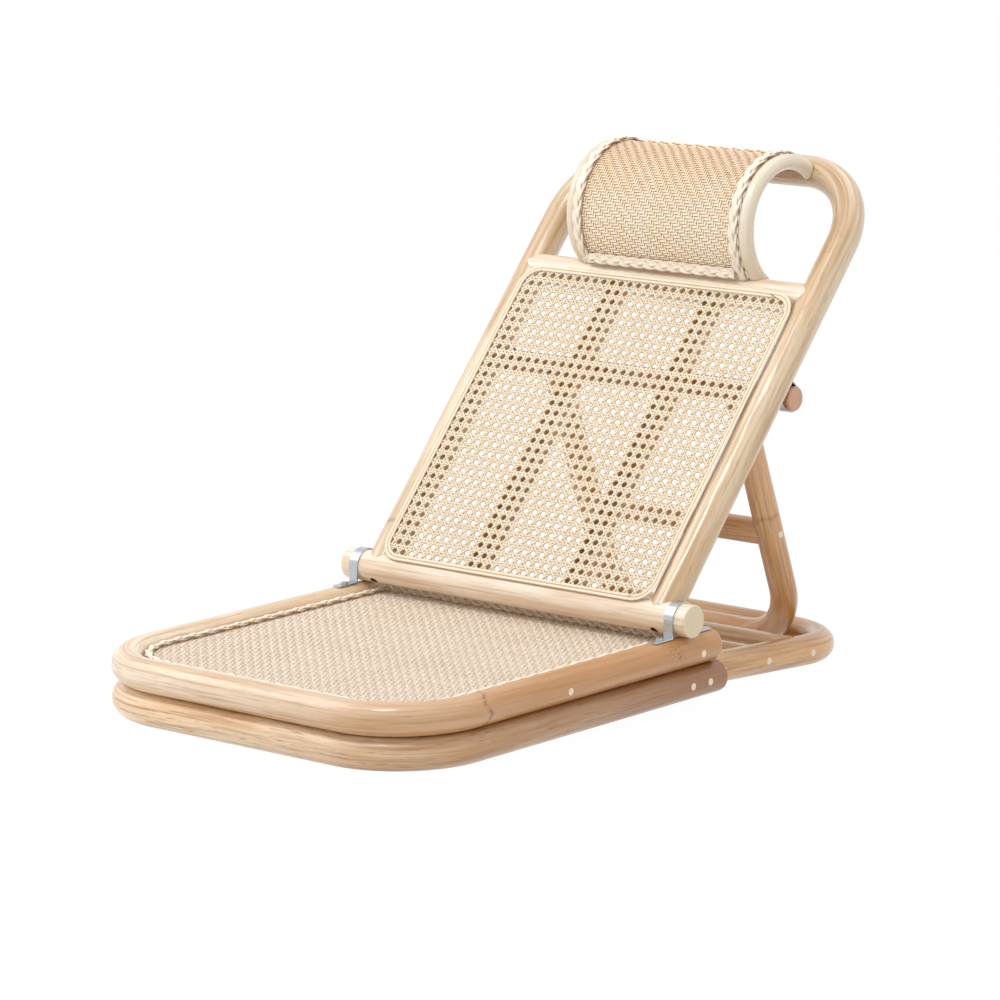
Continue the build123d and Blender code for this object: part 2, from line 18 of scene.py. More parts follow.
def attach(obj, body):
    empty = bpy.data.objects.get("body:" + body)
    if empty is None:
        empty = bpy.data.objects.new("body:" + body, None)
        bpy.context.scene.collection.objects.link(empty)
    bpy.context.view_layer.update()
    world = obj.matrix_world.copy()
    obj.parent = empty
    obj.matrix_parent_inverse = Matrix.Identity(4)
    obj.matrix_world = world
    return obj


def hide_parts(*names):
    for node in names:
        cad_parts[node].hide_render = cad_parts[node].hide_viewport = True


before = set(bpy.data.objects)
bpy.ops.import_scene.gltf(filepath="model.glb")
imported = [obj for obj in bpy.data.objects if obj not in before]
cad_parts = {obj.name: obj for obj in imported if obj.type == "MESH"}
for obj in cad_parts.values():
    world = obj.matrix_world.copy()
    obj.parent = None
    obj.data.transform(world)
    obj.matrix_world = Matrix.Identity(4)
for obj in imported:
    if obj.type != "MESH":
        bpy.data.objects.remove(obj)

LOG = logging.getLogger("chair")
MM = 0.001
WOOD_IOR = 1.5
WHITE = (1.0, 1.0, 1.0, 1.0)

Socket = bpy.types.NodeSocket
Tree = bpy.types.NodeTree
Span = tuple[float, float]
Station = tuple[Vector, Vector, Vector]
Rail = Callable[[float], Station]
Walk = Callable[[float], tuple[Vector, Vector]]


@dataclass(frozen=True)
class TiltedPlane:
    """Plane of the chair that is turned about X only.

    Attributes:
        angle: turn about X, in radians.
        y: origin along the row frame's Y, in mm.
        z: origin along the row frame's Z, in mm.
    """

    angle: float
    y: float
    z: float

    def at(self, x: float, y: float, z: float = 0.0) -> Vector:
        """Place a point of the plane in the row frame.

        Args:
            x: across the chair, in mm.
            y: along the plane, in mm.
            z: off the plane, in mm.

        Returns:
            The point in metres.
        """
        c, s = math.cos(self.angle), math.sin(self.angle)
        return Vector((x, self.y + y * c - z * s, self.z + y * s + z * c)) * MM

    def way(self, x: float, y: float, z: float = 0.0) -> Vector:
        """Turn a direction of the plane into the row frame, in metres."""
        return self.at(x, y, z) - self.at(0, 0)

    def moved(self, y: float, z: float, turn: float) -> "TiltedPlane":
        """Make a plane at a point of this one.

        Args:
            y: along this plane, in mm.
            z: off this plane, in mm.
            turn: further turn about X, in radians.

        Returns:
            The new plane.
        """
        origin = self.at(0, y, z) / MM
        return TiltedPlane(self.angle + turn, origin.y, origin.z)


# Sizes that place the planes
POLE_R = 18.0
REAR_R = 17.25
STAND_R = 15.75
SIDE_X = 228.5
SEAT_Z = 54.2
REAR_BAR_Y = 806.0
REAR_DROP = 23.2
LAP_Y = 455.0
FLOOR_FLAT = 0.5
HINGE_Y, HINGE_Z = 437.8, 90.5
BACK_ANGLE = math.radians(48.8)
BACK_LENGTH = 581.0
DOWEL_U, DOWEL_OFFSET = 304.6, 32.6
FOOT_GAP = 0.8

TIP = math.atan(REAR_DROP / REAR_BAR_Y) + math.asin(
    (REAR_R - POLE_R) / math.hypot(REAR_DROP, REAR_BAR_Y)
)
FRONT_REACH = SEAT_Z * math.sin(TIP) + POLE_R
REAR_REACH = REAR_BAR_Y * math.cos(TIP) - (POLE_R - REAR_DROP) * math.sin(TIP) + REAR_R
LIFT = POLE_R * (1 - math.cos(TIP)) - FLOOR_FLAT
REAR_RUN = math.hypot(REAR_DROP, REAR_BAR_Y - LAP_Y)
REAR_SLOPE = math.atan(REAR_DROP / (REAR_BAR_Y - LAP_Y))

SEAT = TiltedPlane(TIP, (FRONT_REACH - REAR_REACH) / 2, LIFT)
BACK = SEAT.moved(HINGE_Y, HINGE_Z, BACK_ANGLE)
BACK_TOP = BACK.moved(BACK_LENGTH, 0, math.pi)
REAR_BAR = SEAT.moved(LAP_Y, POLE_R, -REAR_SLOPE).moved(REAR_RUN, 0, math.pi)
PIVOT = BACK.moved(DOWEL_U, -DOWEL_OFFSET, 0)
FOOT_Y = REAR_BAR_Y - REAR_R - STAND_R - FLOOR_FLAT
FOOT = SEAT.moved(FOOT_Y, (STAND_R + FOOT_GAP - FOOT_Y * math.sin(TIP)) / math.cos(TIP), 0)
STAND = TiltedPlane(math.atan2(PIVOT.z - FOOT.z, PIVOT.y - FOOT.y), FOOT.y, FOOT.z)


def linear(colour: str) -> tuple[float, float, float, float]:
    """Turn an sRGB hex colour into linear values.

    Args:
        colour: six hex digits after a hash sign.

    Returns:
        Red, green, blue and alpha.
    """
    parts = [int(colour[i : i + 2], 16) / 255 for i in (1, 3, 5)]
    red, green, blue = (
        c / 12.92 if c <= 0.04045 else ((c + 0.055) / 1.055) ** 2.4 for c in parts
    )
    return red, green, blue, 1.0


def add(
    tree: Tree,
    kind: str,
    inputs: dict[Union[int, str], object],
    out: Union[int, str] = 0,
    **settings: object,
) -> Optional[Socket]:
    """Add a shader node with its settings and links.

    Args:
        tree: node tree that gets the node.
        kind: the node's type after its common first word.
        inputs: values, or sockets to link, by the input's name or number.
        out: the output that is asked for, by its name or number.
        settings: the node's own properties.

    Returns:
        That output, or None for a node that has none.
    """
    node = tree.nodes.new("ShaderNode" + kind)
    for key, value in settings.items():
        setattr(node, key, value)
    for key, value in inputs.items():
        if isinstance(value, Socket):
            tree.links.new(value, node.inputs[key])
        else:
            node.inputs[key].default_value = value
    return node.outputs[out] if node.outputs else None


@dataclass(frozen=True)
class Layer:
    """Tone that lies over a surface where a value is high.

    Attributes:
        value: the value, from the node tree.
        tone: sRGB hex colour, or a colour from the node tree.
        span: values at which the tone starts to show and at which it shows most.
        most: share of the tone where it shows most.
        fade: how the share grows between the two.
    """

    value: Socket
    tone: Union[str, Socket]
    span: Span = (0.0, 1.0)
    most: float = 1.0
    fade: str = "LINEAR"


def painted(tree: Tree, ground: str, layers: Sequence[Layer]) -> Socket:
    """Lay tones over a plain colour, one after the other.

    Args:
        tree: node tree of the material.
        ground: sRGB hex colour under all layers.
        layers: the tones, lowest first.

    Returns:
        The colour that shows.
    """
    colour: Union[Socket, tuple[float, ...]] = linear(ground)
    for layer in layers:
        low, high = layer.span
        share = add(
            tree,
            "MapRange",
            {"Value": layer.value, "From Min": low, "From Max": high, "To Max": layer.most},
            interpolation_type=layer.fade,
        )
        tone = linear(layer.tone) if isinstance(layer.tone, str) else layer.tone
        colour = add(tree, "Mix", {0: share, 6: colour, 7: tone}, 2, data_type="RGBA")
    return colour


def blank_material(name: str) -> bpy.types.Material:
    """Make a node material with an empty tree.

    Args:
        name: the material's name.

    Returns:
        The material.
    """
    material = bpy.data.materials.new(name)
    material.use_nodes = True
    material.node_tree.nodes.clear()
    return material


class Run(Enum):
    """How a pole's grain runs in its plane."""

    LOOP = "a bent loop, its bar at Y 0 and its sides along Y"
    ACROSS = "straight, along X"
    UP = "straight, along Y"
    ARC = "round the plane's origin"


@dataclass(frozen=True)
class Grain:
    """Course of a pole, which its grain follows.

    Attributes:
        run: kind of course.
        plane: plane that the course lies in.
        half: centreline of a loop's sides, in mm from the middle.
        bend: centreline bend of a loop or an arc, in mm.
        end: distance along the pole from its middle to its cut ends, in mm.
        rings: places of the cane's joints along the pole, in mm.
        knots: places of knots, along the pole and two ways across it, in mm.
        met: plane whose X axis is the middle of a pole that this one is coped to.
        holes: places of screw holes along the pole, which go through it in its plane, in mm.
    """

    run: Run
    plane: TiltedPlane
    half: float = 0.0
    bend: float = 0.0
    end: float = 5000.0
    rings: tuple[float, ...] = ()
    knots: tuple[tuple[float, float, float], ...] = ()
    # met: plane whose X axis is the middle of a pole that this one is coped to; the seam along it
    # gets painted shade and some dust.
    met: Optional[TiltedPlane] = None
    # holes: places of screw holes along the pole, which go through it in its plane, in mm; their
    # walls get painted shade.
    holes: tuple[float, ...] = ()

    def coordinates(self, tree: Tree) -> Socket:
        """Add nodes for the place along and across the pole.

        Args:
            tree: node tree of the material.

        Returns:
            A vector socket in mm: along the pole, then two ways across it.
        """
        place = add(tree, "TexCoord", {}, "Object")
        mapped = add(
            tree,
            "Mapping",
            {
                "Vector": place,
                "Location": (0.0, self.plane.y * MM, self.plane.z * MM),
                "Rotation": (self.plane.angle, 0.0, 0.0),
                "Scale": (MM, MM, MM),
            },
            vector_type="TEXTURE",
        )
        if self.run is Run.ACROSS:
            return mapped
        x, y, z = add(tree, "SeparateXYZ", {0: mapped}).node.outputs
        if self.run is Run.UP:
            return add(tree, "CombineXYZ", {0: y, 1: x, 2: z})
        if self.run is Run.ARC:
            turn = add(tree, "Math", {0: z, 1: y}, operation="ARCTAN2")
            along = add(tree, "Math", {0: turn, 1: self.bend}, operation="MULTIPLY")
            flat = add(tree, "CombineXYZ", {0: y, 1: z})
            reach = add(tree, "VectorMath", {0: flat}, "Value", operation="LENGTH")
            return add(tree, "CombineXYZ", {0: along, 1: reach, 2: x})

        # Bar, bend and side in one measure that has no step between them
        straight = self.half - self.bend
        off = add(tree, "Math", {0: x}, operation="ABSOLUTE")
        past_bar = add(tree, "Math", {0: off, 1: straight}, operation="SUBTRACT")
        before_side = add(tree, "Math", {0: self.bend, 1: y}, operation="SUBTRACT")
        out = add(tree, "Math", {0: past_bar, 1: 0.0}, operation="MAXIMUM")
        ahead = add(tree, "Math", {0: before_side, 1: 0.0}, operation="MAXIMUM")
        turn = add(tree, "Math", {0: out, 1: ahead}, operation="ARCTAN2")
        on_bar = add(tree, "Math", {0: off, 1: straight}, operation="MINIMUM")
        bent = add(tree, "Math", {0: turn, 1: self.bend, 2: on_bar}, operation="MULTIPLY_ADD")
        on_side = add(tree, "Math", {0: before_side, 1: 0.0}, operation="MINIMUM")
        far = add(tree, "Math", {0: bent, 1: on_side}, operation="SUBTRACT")
        hand = add(tree, "Math", {0: x}, operation="SIGN")
        along = add(tree, "Math", {0: far, 1: hand}, operation="MULTIPLY")
        flat = add(tree, "CombineXYZ", {0: out, 1: ahead})
        reach = add(tree, "VectorMath", {0: flat}, "Value", operation="LENGTH")
        return add(tree, "CombineXYZ", {0: along, 1: reach, 2: z})


@dataclass(frozen=True)
class PoleFinish:
    """Peeled rattan pole under clear lacquer.

    Long soft bands of tone, fibre lines, short dark vessel dashes, a broken brown ring at
    each joint of the cane and a drift to a deeper tone at one end; the skin is slightly wavy,
    so that the lacquer's highlight breaks up along the pole.  Fibres and vessels are drawn
    coarser than real ones, which are too fine to show.

    Attributes:
        name: name of the finish.
        pale: lightest tone.
        deep: darker band tone.
        streak: fibre lines and vessel dashes.
        ring: joint rings and knots, and the painted shade in seams and screw holes.
        end_grain: sawn ends.
        far: tone that the pole drifts to.
        drift: where the drift starts and ends along the pole, in mm.
        fibre: most share of the fibre lines.
        dash: most share of the vessel dashes.
        roughness: of the wood under the lacquer.
        coat: weight of the lacquer.
    """

    name: str
    pale: str
    deep: str
    streak: str
    ring: str
    end_grain: str
    far: str = "#A9764A"
    drift: Span = (9000.0, 9999.0)
    fibre: float = 0.6
    dash: float = 0.45
    roughness: float = 0.42
    coat: float = 0.8

    # Length and width of each pattern in mm, and its detail
    PATTERNS = (
        ("band", 190.0, 15.0, 3.0),
        ("fibre", 110.0, 3.2, 2.0),
        ("dash", 20.0, 1.3, 1.0),
        ("wave", 60.0, 12.0, 1.0),
        ("speck", 5.0, 1.8, 1.0),
    )
    PORE_MM = 1.2
    RING_MM = 6.0
    KNOT_MM = 13.0
    SEAM_MM = (3.2, 1.6)
    HOLE_MM = (5.05, 4.55)
    SAWN_MM = 0.3
    DRIFT_SWAY = 160.0
    RING_SWAY = 16.0

    # Levels of a pattern at which its tone starts to show and shows most
    BAND_SPAN = (0.38, 0.62)
    FIBRE_SPAN = (0.48, 0.74)
    DASH_SPAN = (0.6, 0.74)
    WORN_SPAN = (0.36, 0.6)
    SPECK_SPAN = (0.5, 0.66)
    PORE_SPAN = (0.3, 0.12)
    ROUGH_SPAN = (0.3, 0.75)

    DRIFT_MOST = 0.9
    WORN_SHARES = (0.3, 0.95)
    KNOT_MOST = 0.8
    SHADE_MOST = 0.9
    PORE_MOST = 0.4
    ROUGH_SWAY = (-0.06, 0.12)
    WAVE_BUMP = {"Strength": 0.7, "Distance": 1.6 * MM}
    FIBRE_BUMP = {"Strength": 0.25, "Distance": 0.3 * MM}
    COAT_ROUGHNESS = 0.2

    def marks(
        self, tree: Tree, grain: Grain, place: Socket, noise: dict[str, Socket]
    ) -> list[Layer]:
        """Make the dark marks of a pole: rings and knots, and painted shade in the seam of a cope
        and in screw holes.

        Args:
            tree: node tree of the material.
            grain: course of the pole.
            place: place along and across the pole.
            noise: the patterns, by name.

        Returns:
            The marks.
        """
        made = []

        # Joint rings wander a little and fade in places
        along = add(tree, "SeparateXYZ", {0: place})
        wander = add(
            tree, "Math", {0: noise["wave"], 1: self.RING_SWAY, 2: along}, operation="MULTIPLY_ADD"
        )
        (low, high), (least, most) = self.WORN_SPAN, self.WORN_SHARES
        worn = add(
            tree,
            "MapRange",
            {
                "Value": noise["fibre"],
                "From Min": low,
                "From Max": high,
                "To Min": least,
                "To Max": most,
            },
        )
        for ring in grain.rings:
            middle = ring + self.RING_SWAY / 2
            off = add(tree, "Math", {0: wander, 1: middle}, operation="SUBTRACT")
            gap = add(tree, "Math", {0: off}, operation="ABSOLUTE")
            line = add(tree, "MapRange", {"Value": gap, "From Min": self.RING_MM, "From Max": 0.0})
            deep = add(tree, "Math", {0: line, 1: 2.0}, operation="POWER")
            share = add(tree, "Math", {0: deep, 1: worn}, operation="MULTIPLY")
            made.append(Layer(share, self.ring))
        for knot in grain.knots:
            reach = add(tree, "VectorMath", {0: place, 1: knot}, "Value", operation="DISTANCE")
            near, speck = (
                add(tree, "MapRange", {"Value": value, "From Min": start, "From Max": stop})
                for value, (start, stop) in (
                    (reach, (self.KNOT_MM, self.KNOT_MM / 2)),
                    (noise["speck"], self.SPECK_SPAN),
                )
            )
            share = add(tree, "Math", {0: near, 1: speck}, operation="MULTIPLY")
            made.append(Layer(share, self.ring, most=self.KNOT_MOST))
        # Painted shade, with some dust, in the seam where this pole is coped to another
        if grain.met:
            where = add(tree, "TexCoord", {}, "Object")
            side = add(tree, "VectorMath", {0: where, 1: (0.0, 1.0, 1.0)}, operation="MULTIPLY")
            axis = (0.0, grain.met.y * MM, grain.met.z * MM)
            reach = add(tree, "VectorMath", {0: side, 1: axis}, "Value", operation="DISTANCE")
            start, stop = ((POLE_R + mm) * MM for mm in self.SEAM_MM)
            made.append(Layer(reach, self.ring, (start, stop), self.SHADE_MOST))
        # Painted shade on the walls of screw holes
        for hole in grain.holes:
            level = add(tree, "VectorMath", {0: place, 1: (1.0, 0.0, 1.0)}, operation="MULTIPLY")
            axis = (hole, 0.0, 0.0)
            reach = add(tree, "VectorMath", {0: level, 1: axis}, "Value", operation="DISTANCE")
            made.append(Layer(reach, self.ring, self.HOLE_MM, self.SHADE_MOST))
        return made

    def sawn_ends(self, tree: Tree, grain: Grain, place: Socket) -> Layer:
        """Make the sawn ends, which show pores instead of fibres.

        Args:
            tree: node tree of the material.
            grain: course of the pole.
            place: place along and across the pole.

        Returns:
            The ends.
        """
        along = add(tree, "SeparateXYZ", {0: place})
        reach = add(tree, "Math", {0: along}, operation="ABSOLUTE")
        edge = grain.end - self.SAWN_MM
        sawn = add(tree, "Math", {0: reach, 1: edge}, operation="GREATER_THAN")
        scale = (0.0, 1 / self.PORE_MM, 1 / self.PORE_MM)
        spread = add(tree, "VectorMath", {0: place, 1: scale}, operation="MULTIPLY")
        pore = add(tree, "TexVoronoi", {"Vector": spread, "Scale": 1.0}, "Distance")
        dots = Layer(pore, self.ring, self.PORE_SPAN, self.PORE_MOST)
        return Layer(sawn, painted(tree, self.end_grain, [dots]))

    def material(self, label: str, grain: Grain) -> bpy.types.Material:
        """Make the finish for poles of one course.

        Args:
            label: word for the course, for the material's name.
            grain: the course.

        Returns:
            The material.
        """
        material = blank_material(f"{self.name}_{label}")
        tree = material.node_tree
        place = grain.coordinates(tree)
        noise = {}
        for key, length, width, detail in self.PATTERNS:
            scale = (1 / length, 1 / width, 1 / width)
            stretched = add(tree, "VectorMath", {0: place, 1: scale}, operation="MULTIPLY")
            noise[key] = add(
                tree, "TexNoise", {"Vector": stretched, "Scale": 1.0, "Detail": detail}
            )

        along = add(tree, "SeparateXYZ", {0: place})
        uneven = add(
            tree, "Math", {0: noise["band"], 1: self.DRIFT_SWAY, 2: along}, operation="MULTIPLY_ADD"
        )
        start, stop = (mm + self.DRIFT_SWAY / 2 for mm in self.drift)
        layers = [
            Layer(noise["band"], self.deep, self.BAND_SPAN, fade="SMOOTHSTEP"),
            Layer(uneven, self.far, (start, stop), self.DRIFT_MOST),
            Layer(noise["fibre"], self.streak, self.FIBRE_SPAN, self.fibre),
            Layer(noise["dash"], self.streak, self.DASH_SPAN, self.dash),
            *self.marks(tree, grain, place, noise),
            self.sawn_ends(tree, grain, place),
        ]
        wavy = add(tree, "Bump", {"Height": noise["wave"], **self.WAVE_BUMP})
        fine = add(tree, "Bump", {"Height": noise["fibre"], "Normal": wavy, **self.FIBRE_BUMP})
        (low, high), (less, more) = self.ROUGH_SPAN, self.ROUGH_SWAY
        rough = add(
            tree,
            "MapRange",
            {
                "Value": noise["fibre"],
                "From Min": low,
                "From Max": high,
                "To Min": self.roughness + less,
                "To Max": self.roughness + more,
            },
        )
        shader = add(
            tree,
            "BsdfPrincipled",
            {
                "Base Color": painted(tree, self.pale, layers),
                "Roughness": rough,
                "IOR": WOOD_IOR,
                "Coat Weight": self.coat,
                "Coat Roughness": self.COAT_ROUGHNESS,
                "Normal": fine,
                "Coat Normal": wavy,
            },
        )
        add(tree, "OutputMaterial", {"Surface": shader})
        return material


@dataclass(frozen=True)
class StrandFinish:
    """Split cane strands, smooth skin side up.

    Each strand has its own tone, fibre lines along it and painted shade at its edges, where it
    meets and dives under its neighbours; a few strands carry orange-brown spots of old skin.

    Attributes:
        name: name of the finish.
        pale: lightest strands.
        deep: darkest strands.
        edge: fibre lines, and the painted shade at the edges.
        spot: skin spots.
        spot_from: noise level above which a spot shows.
        roughness: of the strands.
        shade: share of painted shade at the strands' edges.
        brown: heights between which the strands turn browner, in mm.
    """

    name: str
    pale: str
    deep: str
    edge: str
    spot: str
    spot_from: float = 0.7
    roughness: float = 0.5
    shade: float = 0.2
    brown: Span = (9000.0, 9999.0)

    # Scales per mm along a strand, per half width across it, and from strand to strand
    TONE_SCALE = (1 / 50, 0.3, 91.0)
    FIBRE_SCALE = (3 / 50, 2.6, 53.0)
    SPOT_MM = 16.0
    DETAIL = 2.0
    OWN_TONE = 0.6
    TONE_SPAN = (0.4, 1.2)
    LINES = {"From Min": 0.5, "From Max": 0.8, "To Max": 0.3}
    EDGE_POWER = 4.0
    BROWN_MOST = 0.5
    OWN_SPOT = 0.1
    SPOT_FADE = 0.1
    SPOT_MOST = 0.55
    BUMP = {"Strength": 0.2, "Distance": 0.15 * MM}
    COAT, COAT_ROUGHNESS = 0.15, 0.3

    def material(self) -> bpy.types.Material:
        """Make the finish from the strands' own attributes.

        Returns:
            The material.
        """
        material = blank_material(self.name)
        tree = material.node_tree
        along, across, tone = (
            add(tree, "Attribute", {}, "Fac", attribute_name=name) for name in StrandMesh.LAYERS
        )
        place = add(tree, "CombineXYZ", {0: along, 1: across, 2: tone})
        noise = []
        for scale in (self.TONE_SCALE, self.FIBRE_SCALE):
            spread = add(tree, "VectorMath", {0: place, 1: scale}, operation="MULTIPLY")
            noise.append(
                add(tree, "TexNoise", {"Vector": spread, "Scale": 1.0, "Detail": self.DETAIL})
            )
        drift, fibre = noise
        mixed = add(tree, "Math", {0: tone, 1: self.OWN_TONE, 2: drift}, operation="MULTIPLY_ADD")
        # Fibre lines, and painted shade at the strands' edges where they meet their neighbours
        lines = add(tree, "MapRange", {"Value": fibre, **self.LINES})
        rim = add(tree, "Math", {0: across, 1: self.EDGE_POWER}, operation="POWER")
        dark = add(tree, "Math", {0: rim, 1: self.shade, 2: lines}, operation="MULTIPLY_ADD")
        where = add(tree, "TexCoord", {}, "Object")
        height = add(tree, "SeparateXYZ", {0: where}, 2)
        low, high = self.brown
        size = 1 / (self.SPOT_MM * MM)
        patch = add(tree, "TexNoise", {"Vector": where, "Scale": size, "Detail": self.DETAIL})
        stain = add(tree, "Math", {0: tone, 1: self.OWN_SPOT, 2: patch}, operation="MULTIPLY_ADD")
        layers = [
            Layer(mixed, self.deep, self.TONE_SPAN),
            Layer(dark, self.edge),
            Layer(height, self.edge, (low * MM, high * MM), self.BROWN_MOST),
            Layer(
                stain, self.spot, (self.spot_from, self.spot_from + self.SPOT_FADE), self.SPOT_MOST
            ),
        ]
        shader = add(
            tree,
            "BsdfPrincipled",
            {
                "Base Color": painted(tree, self.pale, layers),
                "Roughness": self.roughness,
                "IOR": WOOD_IOR,
                "Coat Weight": self.COAT,
                "Coat Roughness": self.COAT_ROUGHNESS,
                "Normal": add(tree, "Bump", {"Height": fibre, **self.BUMP}),
            },
        )
        add(tree, "OutputMaterial", {"Surface": shader})
        return material


@dataclass(frozen=True)
class SteelFinish:
    """Rolled steel, with faint lines of rolling.

    Attributes:
        name: name of the finish.
        colour: the bright parts.
        dull: darker, duller patches.
        roughness: of the bright parts.
    """

    name: str
    colour: str
    dull: str
    roughness: float = 0.24

    LINE_MM = (40.0, 0.5, 0.5)
    DETAIL = 2.0
    ROUGH_SWAY = (-0.06, 0.14)
    BUMP = {"Strength": 0.1, "Distance": 0.05 * MM}

    def material(self) -> bpy.types.Material:
        """Make the finish.

        Returns:
            The material.
        """
        material = blank_material(self.name)
        tree = material.node_tree
        place = add(tree, "TexCoord", {}, "Object")
        scale = tuple(1 / (mm * MM) for mm in self.LINE_MM)
        drawn = add(tree, "VectorMath", {0: place, 1: scale}, operation="MULTIPLY")
        line = add(tree, "TexNoise", {"Vector": drawn, "Scale": 1.0, "Detail": self.DETAIL})
        low, high = (self.roughness + sway for sway in self.ROUGH_SWAY)
        shader = add(
            tree,
            "BsdfPrincipled",
            {
                "Base Color": painted(tree, self.colour, [Layer(line, self.dull)]),
                "Metallic": 1.0,
                "Roughness": add(tree, "MapRange", {"Value": line, "To Min": low, "To Max": high}),
                "Normal": add(tree, "Bump", {"Height": line, **self.BUMP}),
            },
        )
        add(tree, "OutputMaterial", {"Surface": shader})
        return material


# Front loops: lacquered honey rattan, cream at the left and brown towards the right end
SEAT_POLE = PoleFinish(
    "honey_rattan", "#EEDAC0", "#DDBE98", "#A9763F", "#7A4020", "#D9C79C",
    far="#BC8140", drift=(-130.0, 380.0),
)
BASE_POLE = PoleFinish(
    "honey_rattan_low", "#F3D8B5", "#E2B888", "#955F2E", "#5E391C", "#B99468",
    far="#92591C", drift=(-100.0, 600.0), dash=0.75, coat=0.6,
)
# Rear loop and slats: orange rattan with its deeper, unbleached tone
REAR_POLE = PoleFinish("orange_rattan", "#DCAC72", "#C58F50", "#96602C", "#6F4526", "#D9C79C")
# Rails: thinner poles of an even straw tone
RAIL_POLE = PoleFinish("rail_rattan", "#E6CBA6", "#D5B084", "#AE7F4C", "#8A5F38", "#D9C79C")
# Back loop: pale rattan under a smoother lacquer, with long clear highlights
PALE = PoleFinish(
    "pale_rattan", "#E2CBAB", "#CFAF86", "#A87546", "#8A5F38", "#DED2A6", roughness=0.36
)
# Roller and top rail: the palest poles, with painted shade in their screw recesses
ROLLER = PoleFinish(
    "cream_roller", "#F4E4D0", "#E9D2B6", "#CBA276", "#4A2C14", "#E0CEA8", roughness=0.36
)
# Hoops: bleached rattan, nearly plain
CREAM = PoleFinish(
    "cream_rattan", "#E9DCC6", "#DECDB0", "#C9AE86", "#5E3F22", "#DED2A6", fibre=0.35, dash=0.15
)
# Stand: tan rattan with strong grain
TAN = PoleFinish("tan_rattan", "#E8B884", "#CE975E", "#93602F", "#B27C45", "#C79A7C")
# Turned hardwood: a pink dowel, and pale pegs with little gloss
DOWEL = PoleFinish("pink_dowel", "#CF9A78", "#BD845F", "#9A6442", "#9A6442", "#CF9A78")
PEG = PoleFinish("pale_peg", "#F0E2C8", "#E4D0AC", "#CDB183", "#CDB183", "#F0E2C8", coat=0.3)
# Cane sheet and its reeds: cream and even, with soft painted shade at the edges
CANE = StrandFinish(
    "split_cane", "#FAECD8", "#F2DBB6", "#DBB680", "#C08A4A", spot_from=0.86, shade=0.12
)
EDGING = StrandFinish("edging_reed", "#F8E8D2", "#F1DABA", "#D5AE82", "#C08A4A", spot_from=0.95)
# Woven strips: painted shade at the strands' edges draws the weave, and the roll has browner strips
# and skin spots
SEAT_CANE = StrandFinish(
    "seat_split_rattan", "#FAEBDA", "#EED8BE", "#CBA47C", "#B98A54", spot_from=0.8, shade=0.3
)
HEAD_CANE = StrandFinish(
    "head_split_rattan", "#FFF5E2", "#FFE6C0", "#DA9C5C", "#CE8848",
    spot_from=0.75, shade=0.4, brown=(500.0, 590.0),
)
# Plaits: the whitest strands, with painted shade at their edges as brown lines between them
BRAID = StrandFinish(
    "plaited_cane", "#FDF6EA", "#F6E8D2", "#A8794A", "#B9803F", spot_from=0.92, shade=0.6
)
# Straps and their screws: bright zinc plating, cool grey; screws deep in recesses: painted dark
# with the recess's shade, and dull
STEEL = SteelFinish("zinc_plated_strip", "#D6DADF", "#A5ABB2")
SHADED_SCREW_STEEL = SteelFinish("shaded_screw_steel", "#4B4139", "#2C2621", roughness=0.45)


class StrandMesh:
    """Strands of one piece, each a closed strip along its own course."""

    LAYERS = ("along", "across", "tone")
    RIBBON = ((-1.0, -0.5), (0.0, 0.5), (1.0, -0.5))
    REED = tuple((math.cos(k * math.pi / 4), math.sin(k * math.pi / 4)) for k in range(8))
    TWIN = (
        (-1.0, 0.0), (-0.8, 0.8), (-0.45, 1.0), (-0.08, 0.45), (0.08, 0.45),
        (0.45, 1.0), (0.8, 0.8), (1.0, 0.0), (0.6, -0.8), (-0.6, -0.8),
    )
    WELD = 1e-7

    def __init__(self, seed: int) -> None:
        """Start an empty piece.

        Args:
            seed: fixes the strands' tones.
        """
        self.bm = bmesh.new()
        self.layers = [self.bm.verts.layers.float.new(name) for name in self.LAYERS]
        self.draw = random.Random(seed)

    def strand(
        self,
        rail: Rail,
        length: float,
        count: int,
        section: Sequence[tuple[float, float]] = RIBBON,
    ) -> None:
        """Lay one strand.

        Args:
            rail: gives the middle, half width and half height at a share of the length.
            length: of the strand, in mm.
            count: steps along it.
            section: outline of the strip, as shares of its half width and half height.
        """
        stations = [rail(step / count) for step in range(count + 1)]
        sides = len(section)
        tone = self.draw.random()
        along, across, own = self.layers
        grid = bmesh.ops.create_grid(self.bm, x_segments=count, y_segments=sides, size=1.0)
        for vert in grid["verts"]:
            step = round((vert.co.x + 1) / 2 * count)
            side, rise = section[round((vert.co.y + 1) / 2 * sides) % sides]
            middle, half_width, half_height = stations[step]
            vert.co = middle + half_width * side + half_height * rise
            vert[along] = step / count * length
            vert[across] = side
            vert[own] = tone

    def piece(
        self, name: str, body: str, nodes: Sequence[str], slot: str, material: bpy.types.Material
    ) -> str:
        """Close the strands and hand them over as one piece.

        Args:
            name: name of the piece.
            body: CAD body that it rides on.
            nodes: CAD nodes that it stands for.
            slot: the record's material slot; not used.
            material: its finish.

        Returns:
            The piece's name.
        """
        bm = self.bm
        bmesh.ops.remove_doubles(bm, verts=bm.verts, dist=self.WELD)
        open_edges = [edge for edge in bm.edges if edge.is_boundary]
        bmesh.ops.holes_fill(bm, edges=open_edges, sides=len(self.TWIN))
        bmesh.ops.recalc_face_normals(bm, faces=bm.faces)
        for face in bm.faces:
            face.smooth = True
        mesh = bpy.data.meshes.new(name)
        bm.to_mesh(mesh)
        bm.free()
        mesh.materials.append(material)
        obj = bpy.data.objects.new(name, mesh)
        bpy.context.scene.collection.objects.link(obj)
        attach(obj, body)
        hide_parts(*nodes)
        return name


